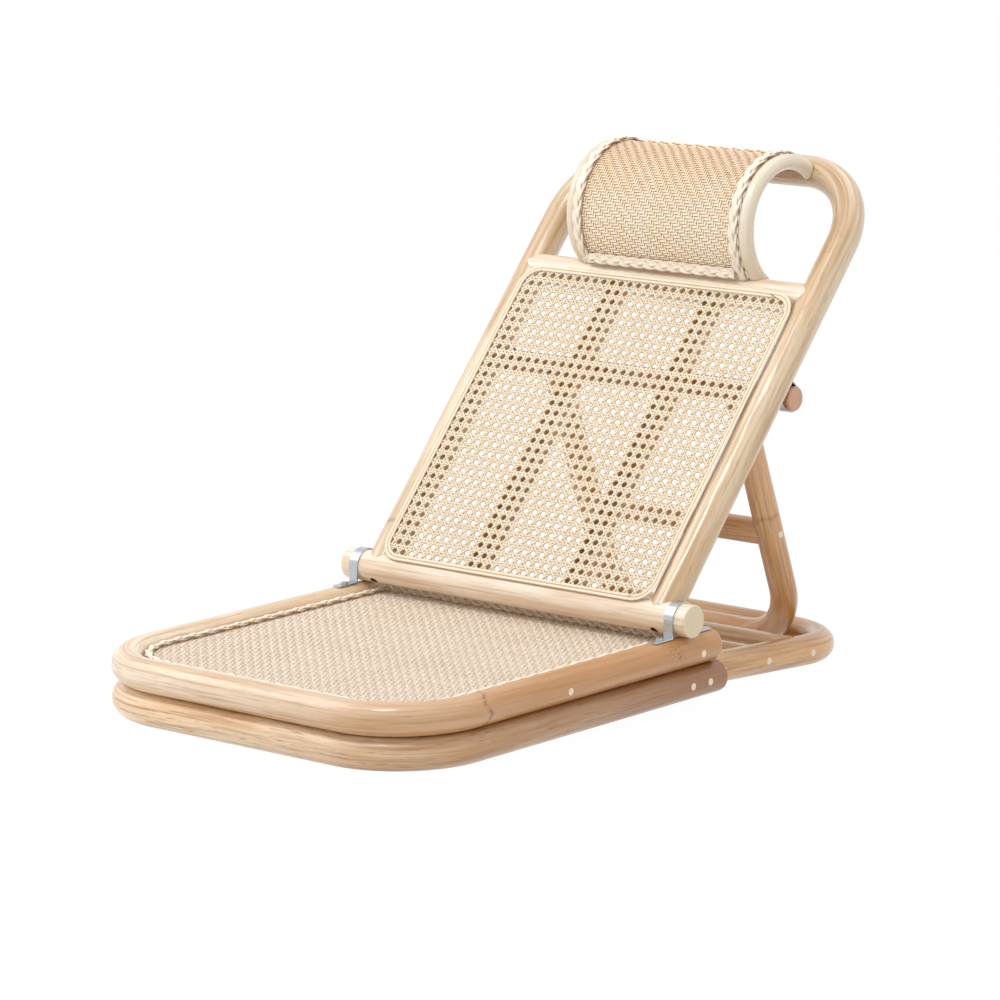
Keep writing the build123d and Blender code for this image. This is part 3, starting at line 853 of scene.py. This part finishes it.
@dataclass(frozen=True)
class BentRun:
    """Course on a plane with rounded corners.

    Attributes:
        corners: corner points, in mm.
        radius: rounding of the corners, in mm.
        closed: whether the course ends where it starts.
    """

    corners: tuple[tuple[float, float], ...]
    radius: float = 0.0
    closed: bool = False

    ARC_STEPS = 16

    def points(self) -> list[Vector]:
        """List points along the course, close together on its bends.

        Returns:
            The points, in mm.
        """
        spots = [Vector(c) for c in self.corners]
        count = len(spots)
        made: list[Vector] = [] if self.closed else [spots[0]]
        for index in range(count) if self.closed else range(1, count - 1):
            before, here, after = spots[index - 1], spots[index], spots[(index + 1) % count]
            into, out = (here - before).normalized(), (after - here).normalized()
            centre = here + (out - into) * self.radius
            for step in range(self.ARC_STEPS + 1):
                turn = step / self.ARC_STEPS * math.pi / 2
                back, on = self.radius * math.cos(turn), self.radius * math.sin(turn)
                made.append(centre - out * back + into * on)
        made.append(made[0] if self.closed else spots[-1])
        return made

    def walker(self) -> tuple[float, Walk]:
        """Measure the course.

        Returns:
            Its length in mm, and a function from a share of that length to the point and
            the direction there.
        """
        points = self.points()
        marks = [0.0]
        for a, b in zip(points, points[1:]):
            marks.append(marks[-1] + (b - a).length)
        total, last = marks[-1], len(marks) - 1

        def walk(share: float) -> tuple[Vector, Vector]:
            """Find the point and the direction at a share of the course.

            Args:
                share: of the course's length.

            Returns:
                The point in mm, and the direction.
            """
            goal = min(max(share, 0.0), 1.0) * total
            index = next((i for i in range(1, last) if marks[i] > goal), last)
            a, b = points[index - 1], points[index]
            span = marks[index] - marks[index - 1]
            part = (goal - marks[index - 1]) / span if span else 0.0
            return a.lerp(b, part), (b - a).normalized()

        return total, walk


@dataclass(frozen=True)
class Plait:
    """Flat three-strand plait.

    Attributes:
        width: over the plait, in mm.
        height: of the plait, in mm.
        lay: length of one full turn of a strand, in mm.
    """

    width: float
    height: float
    lay: float

    STRANDS = 3
    STEPS_PER_LAY = 18
    HALF_SHARE = 0.31
    LIFT_SHARE = 0.27

    def weave_into(self, mesh: StrandMesh, rail: Rail, length: float) -> None:
        """Add the plait along a course.

        Args:
            mesh: piece that gets the strands.
            rail: middle, unit way across and unit way up, at a share of the length.
            length: of the course, in mm.
        """
        turns = max(1, round(length / self.lay))
        half = self.width * self.HALF_SHARE
        swing = self.width / 2 - half
        lift = self.height * self.LIFT_SHARE
        for strand in range(self.STRANDS):

            def course(share: float, phase: float = strand / self.STRANDS) -> Station:
                """Follow one strand of the plait.

                Args:
                    share: of the course's length.
                    phase: share of a turn at which the strand starts.

                Returns:
                    Its middle, half width and half height.
                """
                middle, across, up = rail(share)
                turn = 2 * math.pi * (share * turns + phase)
                aside, rise = swing * math.sin(turn), lift * math.sin(2 * turn)
                place = middle + across * aside + up * rise
                return place, across * half, up * (self.height / 2 - lift)

            mesh.strand(course, length, turns * self.STEPS_PER_LAY, StrandMesh.TWIN)


class Bind(Enum):
    """Order in which the strands of a two-over-two weave step on."""

    TWILL = (0, 1, 2, 3)
    BROKEN_TWILL = (0, 3, 1, 2)

    def lifted(self, first: int, second: int) -> float:
        """Give 1 where the strand of the first way is on top of a crossing, else -1."""
        return 1.0 if (first + self.value[second % 4]) % 4 < 2 else -1.0


@dataclass
class Weave:
    """Closely woven sheet of split rattan.

    Attributes:
        pitch: distance of the strands, in mm.
        swing: height of a strand over the middle of the sheet, in mm.
        bind: order of the crossings.
        surface: place at two ways along the sheet and a height over it, in mm.
        ends: first and last place of a strand along the first way, at a place of the second.
        rows: the same for strands along the second way.
        span_a: range of places along the first way, in mm.
        span_b: range of places along the second way, in mm.
    """

    pitch: float
    swing: float
    bind: Bind
    surface: Callable[[float, float, float], Vector]
    ends: Callable[[float], Span]
    rows: Callable[[float], Span]
    span_a: Span
    span_b: Span

    FILL = 0.47
    STRIP_T = 0.8

    def numbers(self, span: Span) -> range:
        """Number the strands that lie within a span."""
        return range(math.ceil(span[0] / self.pitch), math.floor(span[1] / self.pitch) + 1)

    def rail(self, first: bool, number: int, crossed: range) -> Rail:
        """Make the course of one strand.

        Args:
            first: whether it runs along the first way.
            number: its own number.
            crossed: numbers of the strands that it crosses.

        Returns:
            Its middle, half width and half height, at a share of its length.
        """
        off, half = number * self.pitch, self.pitch * self.FILL

        def spot(run: float, side: float, height: float) -> Vector:
            """Place a point at a run along the strand, a side and a height."""
            return self.surface(run, side, height) if first else self.surface(side, run, height)

        def course(share: float) -> Station:
            """Follow the strand.

            Args:
                share: of its length.

            Returns:
                Its middle, half width and half height.
            """
            other = round(crossed[0] + share * (len(crossed) - 1))
            over = self.bind.lifted(number, other) if first else -self.bind.lifted(other, number)
            run, height = other * self.pitch, over * self.swing
            here = spot(run, off, height)
            up = spot(run, off, 1.0) - spot(run, off, 0.0)
            return here, spot(run, off + half, height) - here, up * (self.STRIP_T / 2)

        return course

    def strands(self, mesh: StrandMesh, first: bool) -> None:
        """Lay the strands of one way.

        Args:
            mesh: piece that gets them.
            first: whether they run along the first way.
        """
        for number in self.numbers(self.span_b if first else self.span_a):
            off = number * self.pitch
            crossed = self.numbers(self.ends(off) if first else self.rows(off))
            steps = len(crossed) - 1
            if steps > 0:
                mesh.strand(self.rail(first, number, crossed), steps * self.pitch, steps)


def dress(nodes: Sequence[str], material: bpy.types.Material) -> list[str]:
    """Give CAD nodes a finish.

    Args:
        nodes: names of the nodes.
        material: the finish.

    Returns:
        The names.
    """
    for name in nodes:
        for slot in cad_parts[name].material_slots:
            slot.material = material
    return list(nodes)


def flat_rail(plane: TiltedPlane, walk: Walk, height: float) -> Rail:
    """Lift a course on a plane to a rail for strands.

    Args:
        plane: plane of the course.
        walk: point and direction at a share of the course.
        height: off the plane, in mm.

    Returns:
        Middle, way across and way up, per mm.
    """

    def rail(share: float) -> Station:
        """Give the middle and the two ways at a share of the course."""
        point, way = walk(share)
        return plane.at(point.x, point.y, height), plane.way(way.y, -way.x), plane.way(0, 0, 1)

    return rail


@dataclass
class SeatBase:
    """Seat frame, base frames, rails, woven seat and hinge straps.

    The fields of the weave, the rim and the rear braid place the woven sheet and its two
    plaits on the seat's plane: x is half the width, front and rear are along the seat, bend
    rounds the front corners and z is the height.  Joints and the knot are along the poles.
    """

    bend: float = 98.0
    pole_end: float = 494.0
    base_end: float = 504.0
    seat_joint: float = 292.0
    seat_knot: float = 599.0
    knot_rise: float = 7.0
    rear_half: float = 187.0
    rear_bend: float = 95.0
    rear_joint: float = -240.0
    rail_joint: float = 35.0
    pitch: float = 3.4
    swing: float = 0.45
    weave_x: float = 209.8
    weave_front: float = 18.7
    weave_rear: float = 464.0
    weave_bend: float = 79.3
    weave_z: float = 60.9
    rim_x: float = 206.4
    rim_front: float = 22.1
    rim_rear: float = 443.7
    rim_bend: float = 75.9
    rim_z: float = 64.35
    rim_plait: Plait = Plait(10.0, 4.6, 70.0)
    rear_braid_y: float = 452.0
    rear_braid_z: float = 65.4
    rear_plait: Plait = Plait(15.0, 8.6, 46.0)

    def on_weave(self, x: float, y: float, height: float) -> Vector:
        """Point at a height over the middle of the woven seat."""
        return SEAT.at(x, y, self.weave_z + height)

    def row(self, y: float) -> Span:
        """Find the ends of a strand across the seat.

        Args:
            y: place of the strand along the seat, in mm.

        Returns:
            Its left and right end, in mm.
        """
        short = max(self.weave_front + self.weave_bend - y, 0.0)
        round_x = math.sqrt(max(self.weave_bend**2 - short**2, 0.0))
        half = self.weave_x - self.weave_bend + round_x
        return -half, half

    def file(self, x: float) -> Span:
        """Find the ends of a strand along the seat.

        Args:
            x: place of the strand across the seat, in mm.

        Returns:
            Its front and rear end, in mm.
        """
        past = max(abs(x) - self.weave_x + self.weave_bend, 0.0)
        round_y = math.sqrt(max(self.weave_bend**2 - past**2, 0.0))
        return self.weave_front + self.weave_bend - round_y, self.weave_rear

    def dress_frame(self) -> list[str]:
        """Dress the CAD nodes of the seat and the base.

        Returns:
            The nodes' names.
        """
        end = self.pole_end - self.bend + SIDE_X - self.bend + self.bend * math.pi / 2
        knot = (self.seat_knot, self.bend + POLE_R, SEAT_Z + self.knot_rise)
        seat = Grain(Run.LOOP, SEAT, SIDE_X, self.bend, end, (self.seat_joint,), (knot,))
        base = Grain(Run.LOOP, SEAT, SIDE_X, self.bend, end + self.base_end - self.pole_end)
        rear = Grain(
            Run.LOOP, REAR_BAR, self.rear_half, self.rear_bend, rings=(self.rear_joint,)
        )
        rails = Grain(Run.ACROSS, SEAT, rings=(self.rail_joint,))
        pegs = Grain(Run.ACROSS, SEAT, end=0.0)
        names = []
        for nodes, material in (
            (["seat_frame"], SEAT_POLE.material("seat_loop", seat)),
            (["base_front_frame"], BASE_POLE.material("base_loop", base)),
            (["base_rear_frame"], REAR_POLE.material("rear_loop", rear)),
            (
                ["base_rail_front", "base_rail_middle", "base_rail_rear"]
                + ["seat_mid_rail", "seat_rear_rail"],
                RAIL_POLE.material("rails", rails),
            ),
            (["lap_pins", "base_rail_pins", "seat_rail_pins"], PEG.material("pegs", pegs)),
            (
                ["hinge_strap_left", "hinge_strap_right", "hinge_strap_screws", "frame_screws"],
                STEEL.material(),
            ),
        ):
            names += dress(nodes, material)
        return names

    def build(self) -> list[str]:
        """Make the seat's own pieces and dress its CAD nodes.

        Returns:
            The pieces' names.
        """
        names = self.dress_frame()
        weave = Weave(
            pitch=self.pitch,
            swing=self.swing,
            bind=Bind.BROKEN_TWILL,
            surface=self.on_weave,
            ends=self.row,
            rows=self.file,
            span_a=(-self.weave_x, self.weave_x),
            span_b=(self.weave_front, self.weave_rear),
        )
        cane = SEAT_CANE.material()
        for name, first, seed in (("seat_weave_across", True, 3), ("seat_weave_along", False, 4)):
            mesh = StrandMesh(seed)
            weave.strands(mesh, first)
            names.append(mesh.piece(name, "base", ["seat_weave"], "seat_weave", cane))

        braid = BRAID.material()
        x, front, rear = self.rim_x, self.rim_front, self.rim_rear
        rim = BentRun(((x, rear), (x, front), (-x, front), (-x, rear)), self.rim_bend)
        across = BentRun(((-x, self.rear_braid_y), (x, self.rear_braid_y)))
        for name, run, plait, z, seed in (
            ("seat_braid_rim", rim, self.rim_plait, self.rim_z, 5),
            ("seat_braid_rear", across, self.rear_plait, self.rear_braid_z, 6),
        ):
            length, walk = run.walker()
            mesh = StrandMesh(seed)
            plait.weave_into(mesh, flat_rail(SEAT, walk, z), length)
            names.append(mesh.piece(f"{name}_plait", "base", [name], "braid", braid))
        return names


class CaneWay(Enum):
    """Ways of the strands in six-way cane: their direction across and up the back."""

    UPRIGHT = (0.0, 1.0)
    LEVEL = (1.0, 0.0)
    RISING = (math.sqrt(0.5), math.sqrt(0.5))
    FALLING = (math.sqrt(0.5), -math.sqrt(0.5))

    @property
    def slanted(self) -> bool:
        """Whether the strands lie at a slant."""
        return self in (CaneWay.RISING, CaneWay.FALLING)


@dataclass
class CanedBack:
    """Back frame, roller, slats, cane sheet and its edging.

    The cane's fields are on the back's plane: x is half the width, low and high are up the
    back, w is off it.  The strands run in pairs up and across, and one by one at a slant.
    """

    half: float = 203.5
    bend: float = 93.0
    loop_joint: float = -690.0
    slat_joint: float = 240.0
    roller_half: float = 249.0
    cane_x: float = 197.0
    cane_low: float = 2.0
    cane_high: float = 407.0
    corner: float = 28.0
    cane_w: float = 19.0
    hidden: float = 3.5
    pitch: float = 12.7
    pair: float = 1.65
    pair_rise: float = 0.35
    strand_half: float = 1.6
    slant_half: float = 1.55
    slant_rise: float = 0.75
    strip_t: float = 0.7
    edge_w: float = 20.45
    reed_half: float = 1.9
    reed_rise: float = 0.95
    reed_gap: float = 0.1

    SEARCH_MM = 600
    PAIRS = 17
    SLANTS = 34
    REED_STEPS = 320
    REED_SEED = 21

    @property
    def middle(self) -> float:
        """Middle of the cane up the back, in mm."""
        return (self.cane_low + self.cane_high) / 2

    def inside(self, x: float, u: float) -> bool:
        """Tell whether a point lies on the cane, short of its hidden rim.

        Args:
            x: across the back, in mm.
            u: up the back, in mm.

        Returns:
            Whether it does.
        """
        out = abs(x) - (self.cane_x - self.corner)
        past = abs(u - self.middle) - ((self.cane_high - self.cane_low) / 2 - self.corner)
        reach = math.hypot(out, past) if out > 0 and past > 0 else max(out, past)
        return reach < self.corner - self.hidden

    def stretch(self, x: float, u: float, way: CaneWay) -> Span:
        """Find where a straight strand starts and stops.

        Args:
            x: a point on its line.
            u: the same, up the back.
            way: direction of the line.

        Returns:
            Distances along the line, equal where it misses the cane.
        """
        across, up = way.value
        reach = range(-self.SEARCH_MM, self.SEARCH_MM + 1)
        kept = [t for t in reach if self.inside(x + t * across, u + t * up)]
        return (kept[0], kept[-1]) if kept else (0.0, 0.0)

    def rail(self, way: CaneWay, start: tuple[float, float], length: float, side: int) -> Rail:
        """Make the course of one strand of cane.

        Args:
            way: direction of the strand.
            start: where it starts, across and up the back, in mm.
            length: of the strand, in mm.
            side: its side of its pair, or 0 for one that isn't in a pair.

        Returns:
            Its middle, half width and half height, at a share of its length.
        """
        across, up = way.value
        half = self.slant_half if way.slanted else self.strand_half
        hand = 1 if way in (CaneWay.UPRIGHT, CaneWay.FALLING) else -1

        def course(share: float) -> Station:
            """Follow the strand over and under the others.

            Args:
                share: of its length.

            Returns:
                Its middle, half width and half height.
            """
            x, u = start[0] + share * length * across, start[1] + share * length * up
            if way.slanted:
                rise = self.slant_rise * math.cos(2 * math.pi * x / self.pitch)
            else:
                run = u - self.middle if way is CaneWay.UPRIGHT else x
                rise = self.pair_rise * side * math.sin(2 * math.pi * (run / self.pitch + 0.5))
            place = BACK.at(x, u, self.cane_w + hand * rise)
            return place, BACK.way(-up * half, across * half), BACK.way(0, 0, self.strip_t / 2)

        return course

    def cane(self, way: CaneWay, seed: int) -> StrandMesh:
        """Lay one set of strands of the six-way cane.

        Args:
            way: direction of the strands.
            seed: fixes the strands' tones.

        Returns:
            The strands.
        """
        mesh = StrandMesh(seed)
        step = self.pitch / 4 * (math.sqrt(2) if way.slanted else 1.0)
        count = self.SLANTS if way.slanted else self.PAIRS
        for number in range(-count, count):
            for side in (0,) if way.slanted else (-1, 1):
                off = (number + 0.5) * self.pitch + side * self.pair
                x, u = (off, self.middle) if way is CaneWay.UPRIGHT else (0.0, self.middle + off)
                low, high = self.stretch(x, u, way)
                if high - low < self.pitch / 2:
                    continue
                start = x + low * way.value[0], u + low * way.value[1]
                rail = self.rail(way, start, high - low, side)
                mesh.strand(rail, high - low, max(2, round((high - low) / step)))
        return mesh

    def edging(self) -> StrandMesh:
        """Lay the two reeds round the cane's edge.

        Returns:
            The reeds.
        """
        mesh = StrandMesh(self.REED_SEED)
        for halves in (1, 3):
            inset = halves * (self.reed_half + self.reed_gap)
            x, low, high = self.cane_x - inset, self.cane_low + inset, self.cane_high - inset
            corners = ((x, low), (x, high), (-x, high), (-x, low))
            length, walk = BentRun(corners, self.corner - inset, closed=True).walker()

            def course(share: float, rail: Rail = flat_rail(BACK, walk, self.edge_w)) -> Station:
                """Give the middle, half width and half height of the reed."""
                middle, across, up = rail(share)
                return middle, across * self.reed_half, up * self.reed_rise

            mesh.strand(course, length, self.REED_STEPS, StrandMesh.REED)
        return mesh

    def dress_frame(self) -> list[str]:
        """Dress the back's CAD nodes.

        Returns:
            The nodes' names.
        """
        loop = Grain(Run.LOOP, BACK_TOP, self.half, self.bend, rings=(self.loop_joint,))
        # The roller's screw holes get painted shade on their walls
        holes = (-self.half, self.half)
        roller = Grain(Run.ACROSS, BACK, end=self.roller_half, holes=holes)
        slats = Grain(Run.UP, BACK, rings=(self.slat_joint,))
        pegs = Grain(Run.ACROSS, BACK, end=0.0)
        names = []
        for nodes, material in (
            (["back_frame"], PALE.material("back_loop", loop)),
            (["hinge_roller", "back_top_rail"], ROLLER.material("roller", roller)),
            (["back_slat_left", "back_slat_right"], REAR_POLE.material("slats", slats)),
            (["top_rail_dowels"], PEG.material("dowels", pegs)),
            (["stand_strap_left", "stand_strap_right", "stand_strap_screws"], STEEL.material()),
            # Screws deep in their recesses get steel painted dark as the shade in the recess
            (["roller_screws", "hoop_screws"], SHADED_SCREW_STEEL.material()),
        ):
            names += dress(nodes, material)
        return names

    def build(self) -> list[str]:
        """Make the cane and its edging, and dress the back's CAD nodes.

        Returns:
            The pieces' names.
        """
        names = self.dress_frame()
        cane = CANE.material()
        for seed, way in enumerate(CaneWay, 11):
            name = f"cane_{way.name.lower()}"
            names.append(self.cane(way, seed).piece(name, "back", ["cane_panel"], "cane", cane))
        reed = EDGING.material()
        names.append(
            self.edging().piece("cane_edging_reeds", "back", ["cane_edging"], "cane", reed)
        )
        return names


@dataclass
class HeadRoll:
    """Hoops, woven shell and plaits of the head roll.

    The roll's middle is on the back's plane, u up the back and w off it.  Turns are round
    that middle, up from the roll's lower edge; r is a reach from it, x is half the width.
    """

    centre_u: float = 500.5
    centre_w: float = 9.0
    hoop_r: float = 72.0
    pitch: float = 3.4
    swing: float = 0.5
    weave_r: float = 78.6
    weave_x: float = 115.6
    low: float = 0.105
    high: float = math.pi - 0.13
    braid_x: float = 112.6
    braid_r: float = 82.05
    side_plait: Plait = Plait(13.5, 4.2, 57.0)
    cross_low: float = math.radians(13.7)
    cross_high: float = math.radians(14.5)
    cross_half: float = 105.9
    cross_lean: float = math.radians(28.0)
    cross_r: float = 84.0
    cross_plait: Plait = Plait(13.5, 5.2, 48.0)

    def on_roll(self, x: float, turn: float, reach: float) -> Vector:
        """Point of the roll, at a turn up from its lower edge and a reach from its middle."""
        u, w = self.centre_u - reach * math.cos(turn), self.centre_w + reach * math.sin(turn)
        return BACK.at(x, u, w)

    def on_weave(self, x: float, along: float, height: float) -> Vector:
        """Point of the woven shell, at a distance up from its lower edge and a height over it."""
        return self.on_roll(x, along / self.weave_r, self.weave_r + height)

    def row(self, along: float) -> Span:
        """Ends of a strand across the roll, the same at every distance along it."""
        return -self.weave_x, self.weave_x

    def file(self, x: float) -> Span:
        """Ends of a strand round the roll, the same at every x."""
        return self.low * self.weave_r, self.high * self.weave_r

    def side_rail(self, x: float) -> Rail:
        """Make the course of a plait along a hoop.

        Args:
            x: place of the plait across the roll, in mm.

        Returns:
            Its middle, way across and way up, at a share of its length.
        """

        def rail(share: float) -> Station:
            """Give the middle and the two ways at a share of the course.

            Args:
                share: of the course's length.

            Returns:
                The middle, the way across and the way up.
            """
            turn = self.low + share * (self.high - self.low)
            middle = self.on_roll(x, turn, self.braid_r)
            return middle, BACK.way(1, 0), self.on_roll(x, turn, self.braid_r + 1) - middle

        return rail

    def cross_rail(self, turn: float) -> Rail:
        """Make the course of a plait across the roll, which leans away from its middle.

        Args:
            turn: place of the plait round the roll, in radians.

        Returns:
            Its middle, way across and way up, at a share of its length.
        """
        faced = turn + math.copysign(self.cross_lean, math.cos(turn))

        def rail(share: float) -> Station:
            """Give the middle and the two ways at a share of the course.

            Args:
                share: of the course's length.

            Returns:
                The middle, the way across and the way up.
            """
            x = (2 * share - 1) * self.cross_half
            centre = self.on_roll(x, faced, 0)
            beside = self.on_roll(x, faced + math.pi / 2, 1) - centre
            return self.on_roll(x, turn, self.cross_r), beside, self.on_roll(x, faced, 1) - centre

        return rail

    def build(self) -> list[str]:
        """Make the roll's weave and plaits, and dress its hoops.

        Returns:
            The pieces' names.
        """
        centre = BACK.moved(self.centre_u, self.centre_w, 0)
        # The hoops' seam at the top bar gets painted shade and some dust
        hoop = CREAM.material("hoops", Grain(Run.ARC, centre, bend=self.hoop_r, met=BACK_TOP))
        names = dress(["head_hoop_left", "head_hoop_right"], hoop)
        weave = Weave(
            pitch=self.pitch,
            swing=self.swing,
            bind=Bind.TWILL,
            surface=self.on_weave,
            ends=self.row,
            rows=self.file,
            span_a=self.row(0.0),
            span_b=self.file(0.0),
        )
        cane = HEAD_CANE.material()
        for name, first, seed in (("head_weave_across", True, 31), ("head_weave_round", False, 32)):
            mesh = StrandMesh(seed)
            weave.strands(mesh, first)
            names.append(mesh.piece(name, "back", ["head_weave"], "head_weave", cane))

        braid = BRAID.material()
        round_length = (self.high - self.low) * self.braid_r
        side, cross = self.side_plait, self.cross_plait
        for name, plait, rail, length, seed in (
            ("left", side, self.side_rail(-self.braid_x), round_length, 33),
            ("right", side, self.side_rail(self.braid_x), round_length, 34),
            ("bottom", cross, self.cross_rail(self.cross_low), 2 * self.cross_half, 35),
            ("top", cross, self.cross_rail(math.pi - self.cross_high), 2 * self.cross_half, 36),
        ):
            mesh = StrandMesh(seed)
            plait.weave_into(mesh, rail, length)
            node = f"head_braid_{name}"
            names.append(mesh.piece(f"head_plait_{name}", "back", [node], "braid", braid))
        return names


@dataclass
class PropStand:
    """Swing-out stand behind the back."""

    half: float = 131.5
    bend: float = 70.0
    joints: tuple[float, ...] = (264.0, -330.0)
    dowel_half: float = 214.0

    def build(self) -> list[str]:
        """Dress the stand's CAD nodes.

        Returns:
            The nodes' names.
        """
        loop = Grain(Run.LOOP, STAND, self.half, self.bend, rings=self.joints)
        dowel = Grain(Run.ACROSS, STAND, end=self.dowel_half)
        pegs = Grain(Run.ACROSS, STAND, end=0.0)
        names = []
        for node, material in (
            ("stand_frame", TAN.material("stand_loop", loop)),
            ("stand_dowel", DOWEL.material("dowel", dowel)),
            ("stand_crossbar", TAN.material("crossbar", Grain(Run.ACROSS, STAND))),
            ("crossbar_pins", PEG.material("stand_pegs", pegs)),
            ("stand_dowel_screws", STEEL.material()),
        ):
            names += dress([node], material)
        return names


@dataclass
class Studio:
    """White floor, soft light and the camera.

    Attributes:
        ambient: level of the light from all sides.
        floor_half: half side of the floor, in metres.
        floor_white: share of plain white in the floor that the camera sees.
        floor_glow: level of that white, which makes up for the rest of the floor.
        floor_grey: tone of the floor that light falls on.
    """

    ambient: float = 0.7
    floor_half: float = 30.0
    floor_white: float = 0.95
    floor_glow: float = 1.03
    floor_grey: float = 0.9

    # Camera, solved from the photograph: lens in mm, place in metres and its three ways
    LENS = 168.95
    SENSOR = 36.0
    CLIP = (0.1, 60.0)
    EYE = (3.295410, -3.857067, 1.100616)
    RIGHT = (0.75924961, 0.65072004, 0.01017131)
    UP = (-0.1202891, 0.12495743, 0.98484322)
    AHEAD = (-0.63958624, 0.74896534, -0.1731484)

    # Name, place and side in metres, and power in watts
    LAMPS = (
        ("key", (-1.9, -1.2, 2.2), 2.0, 27.0),
        ("front", (0.2, -1.3, 2.7), 0.6, 20.0),
        ("top", (0.3, 0.9, 2.6), 1.8, 12.0),
    )
    AIM = (0.0, 0.0, 0.22)

    @staticmethod
    def seen(tree: Tree) -> Socket:
        """Add nodes that are 1 for rays from the camera or a gloss, and 0 for others.

        Args:
            tree: node tree that gets them.

        Returns:
            Their output.
        """
        rays = add(tree, "LightPath", {}).node.outputs
        shown = rays["Is Camera Ray"]
        for name in ("Is Glossy Ray", "Is Transmission Ray"):
            shown = add(tree, "Math", {0: shown, 1: rays[name]}, operation="MAXIMUM")
        return shown

    def light_room(self, scene: bpy.types.Scene) -> None:
        """Make the white world and the lamps.

        Args:
            scene: scene that gets them.
        """
        world = bpy.data.worlds.new("white_room")
        world.use_nodes = True
        tree = world.node_tree
        tree.nodes.clear()
        seen = self.seen(tree)
        level = add(tree, "MapRange", {"Value": seen, "To Min": self.ambient, "To Max": 1.0})
        light = add(tree, "Background", {"Color": WHITE, "Strength": level})
        add(tree, "OutputWorld", {"Surface": light})
        scene.world = world
        for name, place, side, power in self.LAMPS:
            lamp = bpy.data.lights.new(name, "AREA")
            lamp.size = side
            lamp.energy = power
            obj = bpy.data.objects.new(name, lamp)
            scene.collection.objects.link(obj)
            obj.location = place
            ahead = Vector(self.AIM) - Vector(place)
            obj.rotation_euler = ahead.to_track_quat("-Z", "Y").to_euler()

    def lay_floor(self, scene: bpy.types.Scene) -> None:
        """Make the floor, which shows white but keeps the chair's shadow.

        Args:
            scene: scene that gets it.
        """
        material = blank_material("white_floor")
        tree = material.node_tree
        seen = self.seen(tree)
        share = add(tree, "Math", {0: seen, 1: self.floor_white}, operation="MULTIPLY")
        grey = (self.floor_grey, self.floor_grey, self.floor_grey, 1.0)
        matte = add(tree, "BsdfDiffuse", {"Color": grey})
        glow = add(tree, "Emission", {"Color": WHITE, "Strength": self.floor_glow})
        mixed = add(tree, "MixShader", {0: share, 1: matte, 2: glow})
        add(tree, "OutputMaterial", {"Surface": mixed})
        bm = bmesh.new()
        bmesh.ops.create_grid(bm, x_segments=1, y_segments=1, size=self.floor_half)
        mesh = bpy.data.meshes.new("floor")
        bm.to_mesh(mesh)
        bm.free()
        mesh.materials.append(material)
        floor = bpy.data.objects.new("floor", mesh)
        scene.collection.objects.link(floor)

    def build(self) -> None:
        """Make the light, the floor and the camera."""
        scene = bpy.context.scene
        scene.view_settings.view_transform = "Standard"
        self.light_room(scene)
        self.lay_floor(scene)
        data = bpy.data.cameras.new("camera")
        data.lens, data.sensor_width = self.LENS, self.SENSOR
        data.clip_start, data.clip_end = self.CLIP
        camera = bpy.data.objects.new("camera", data)
        scene.collection.objects.link(camera)
        turned = Matrix((self.RIGHT, self.UP, -Vector(self.AHEAD))).transposed()
        camera.matrix_world = Matrix.Translation(self.EYE) @ turned.to_4x4()
        scene.camera = camera


def main() -> None:
    """Build the sub-assemblies and the studio."""
    logging.basicConfig(level=logging.INFO, format="%(message)s")
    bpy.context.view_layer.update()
    for assembly in (SeatBase(), CanedBack(), HeadRoll(), PropStand()):
        for name in assembly.build():
            LOG.info("%s: %s", type(assembly).__name__, name)
    Studio().build()


if __name__ == "__main__":
    main()
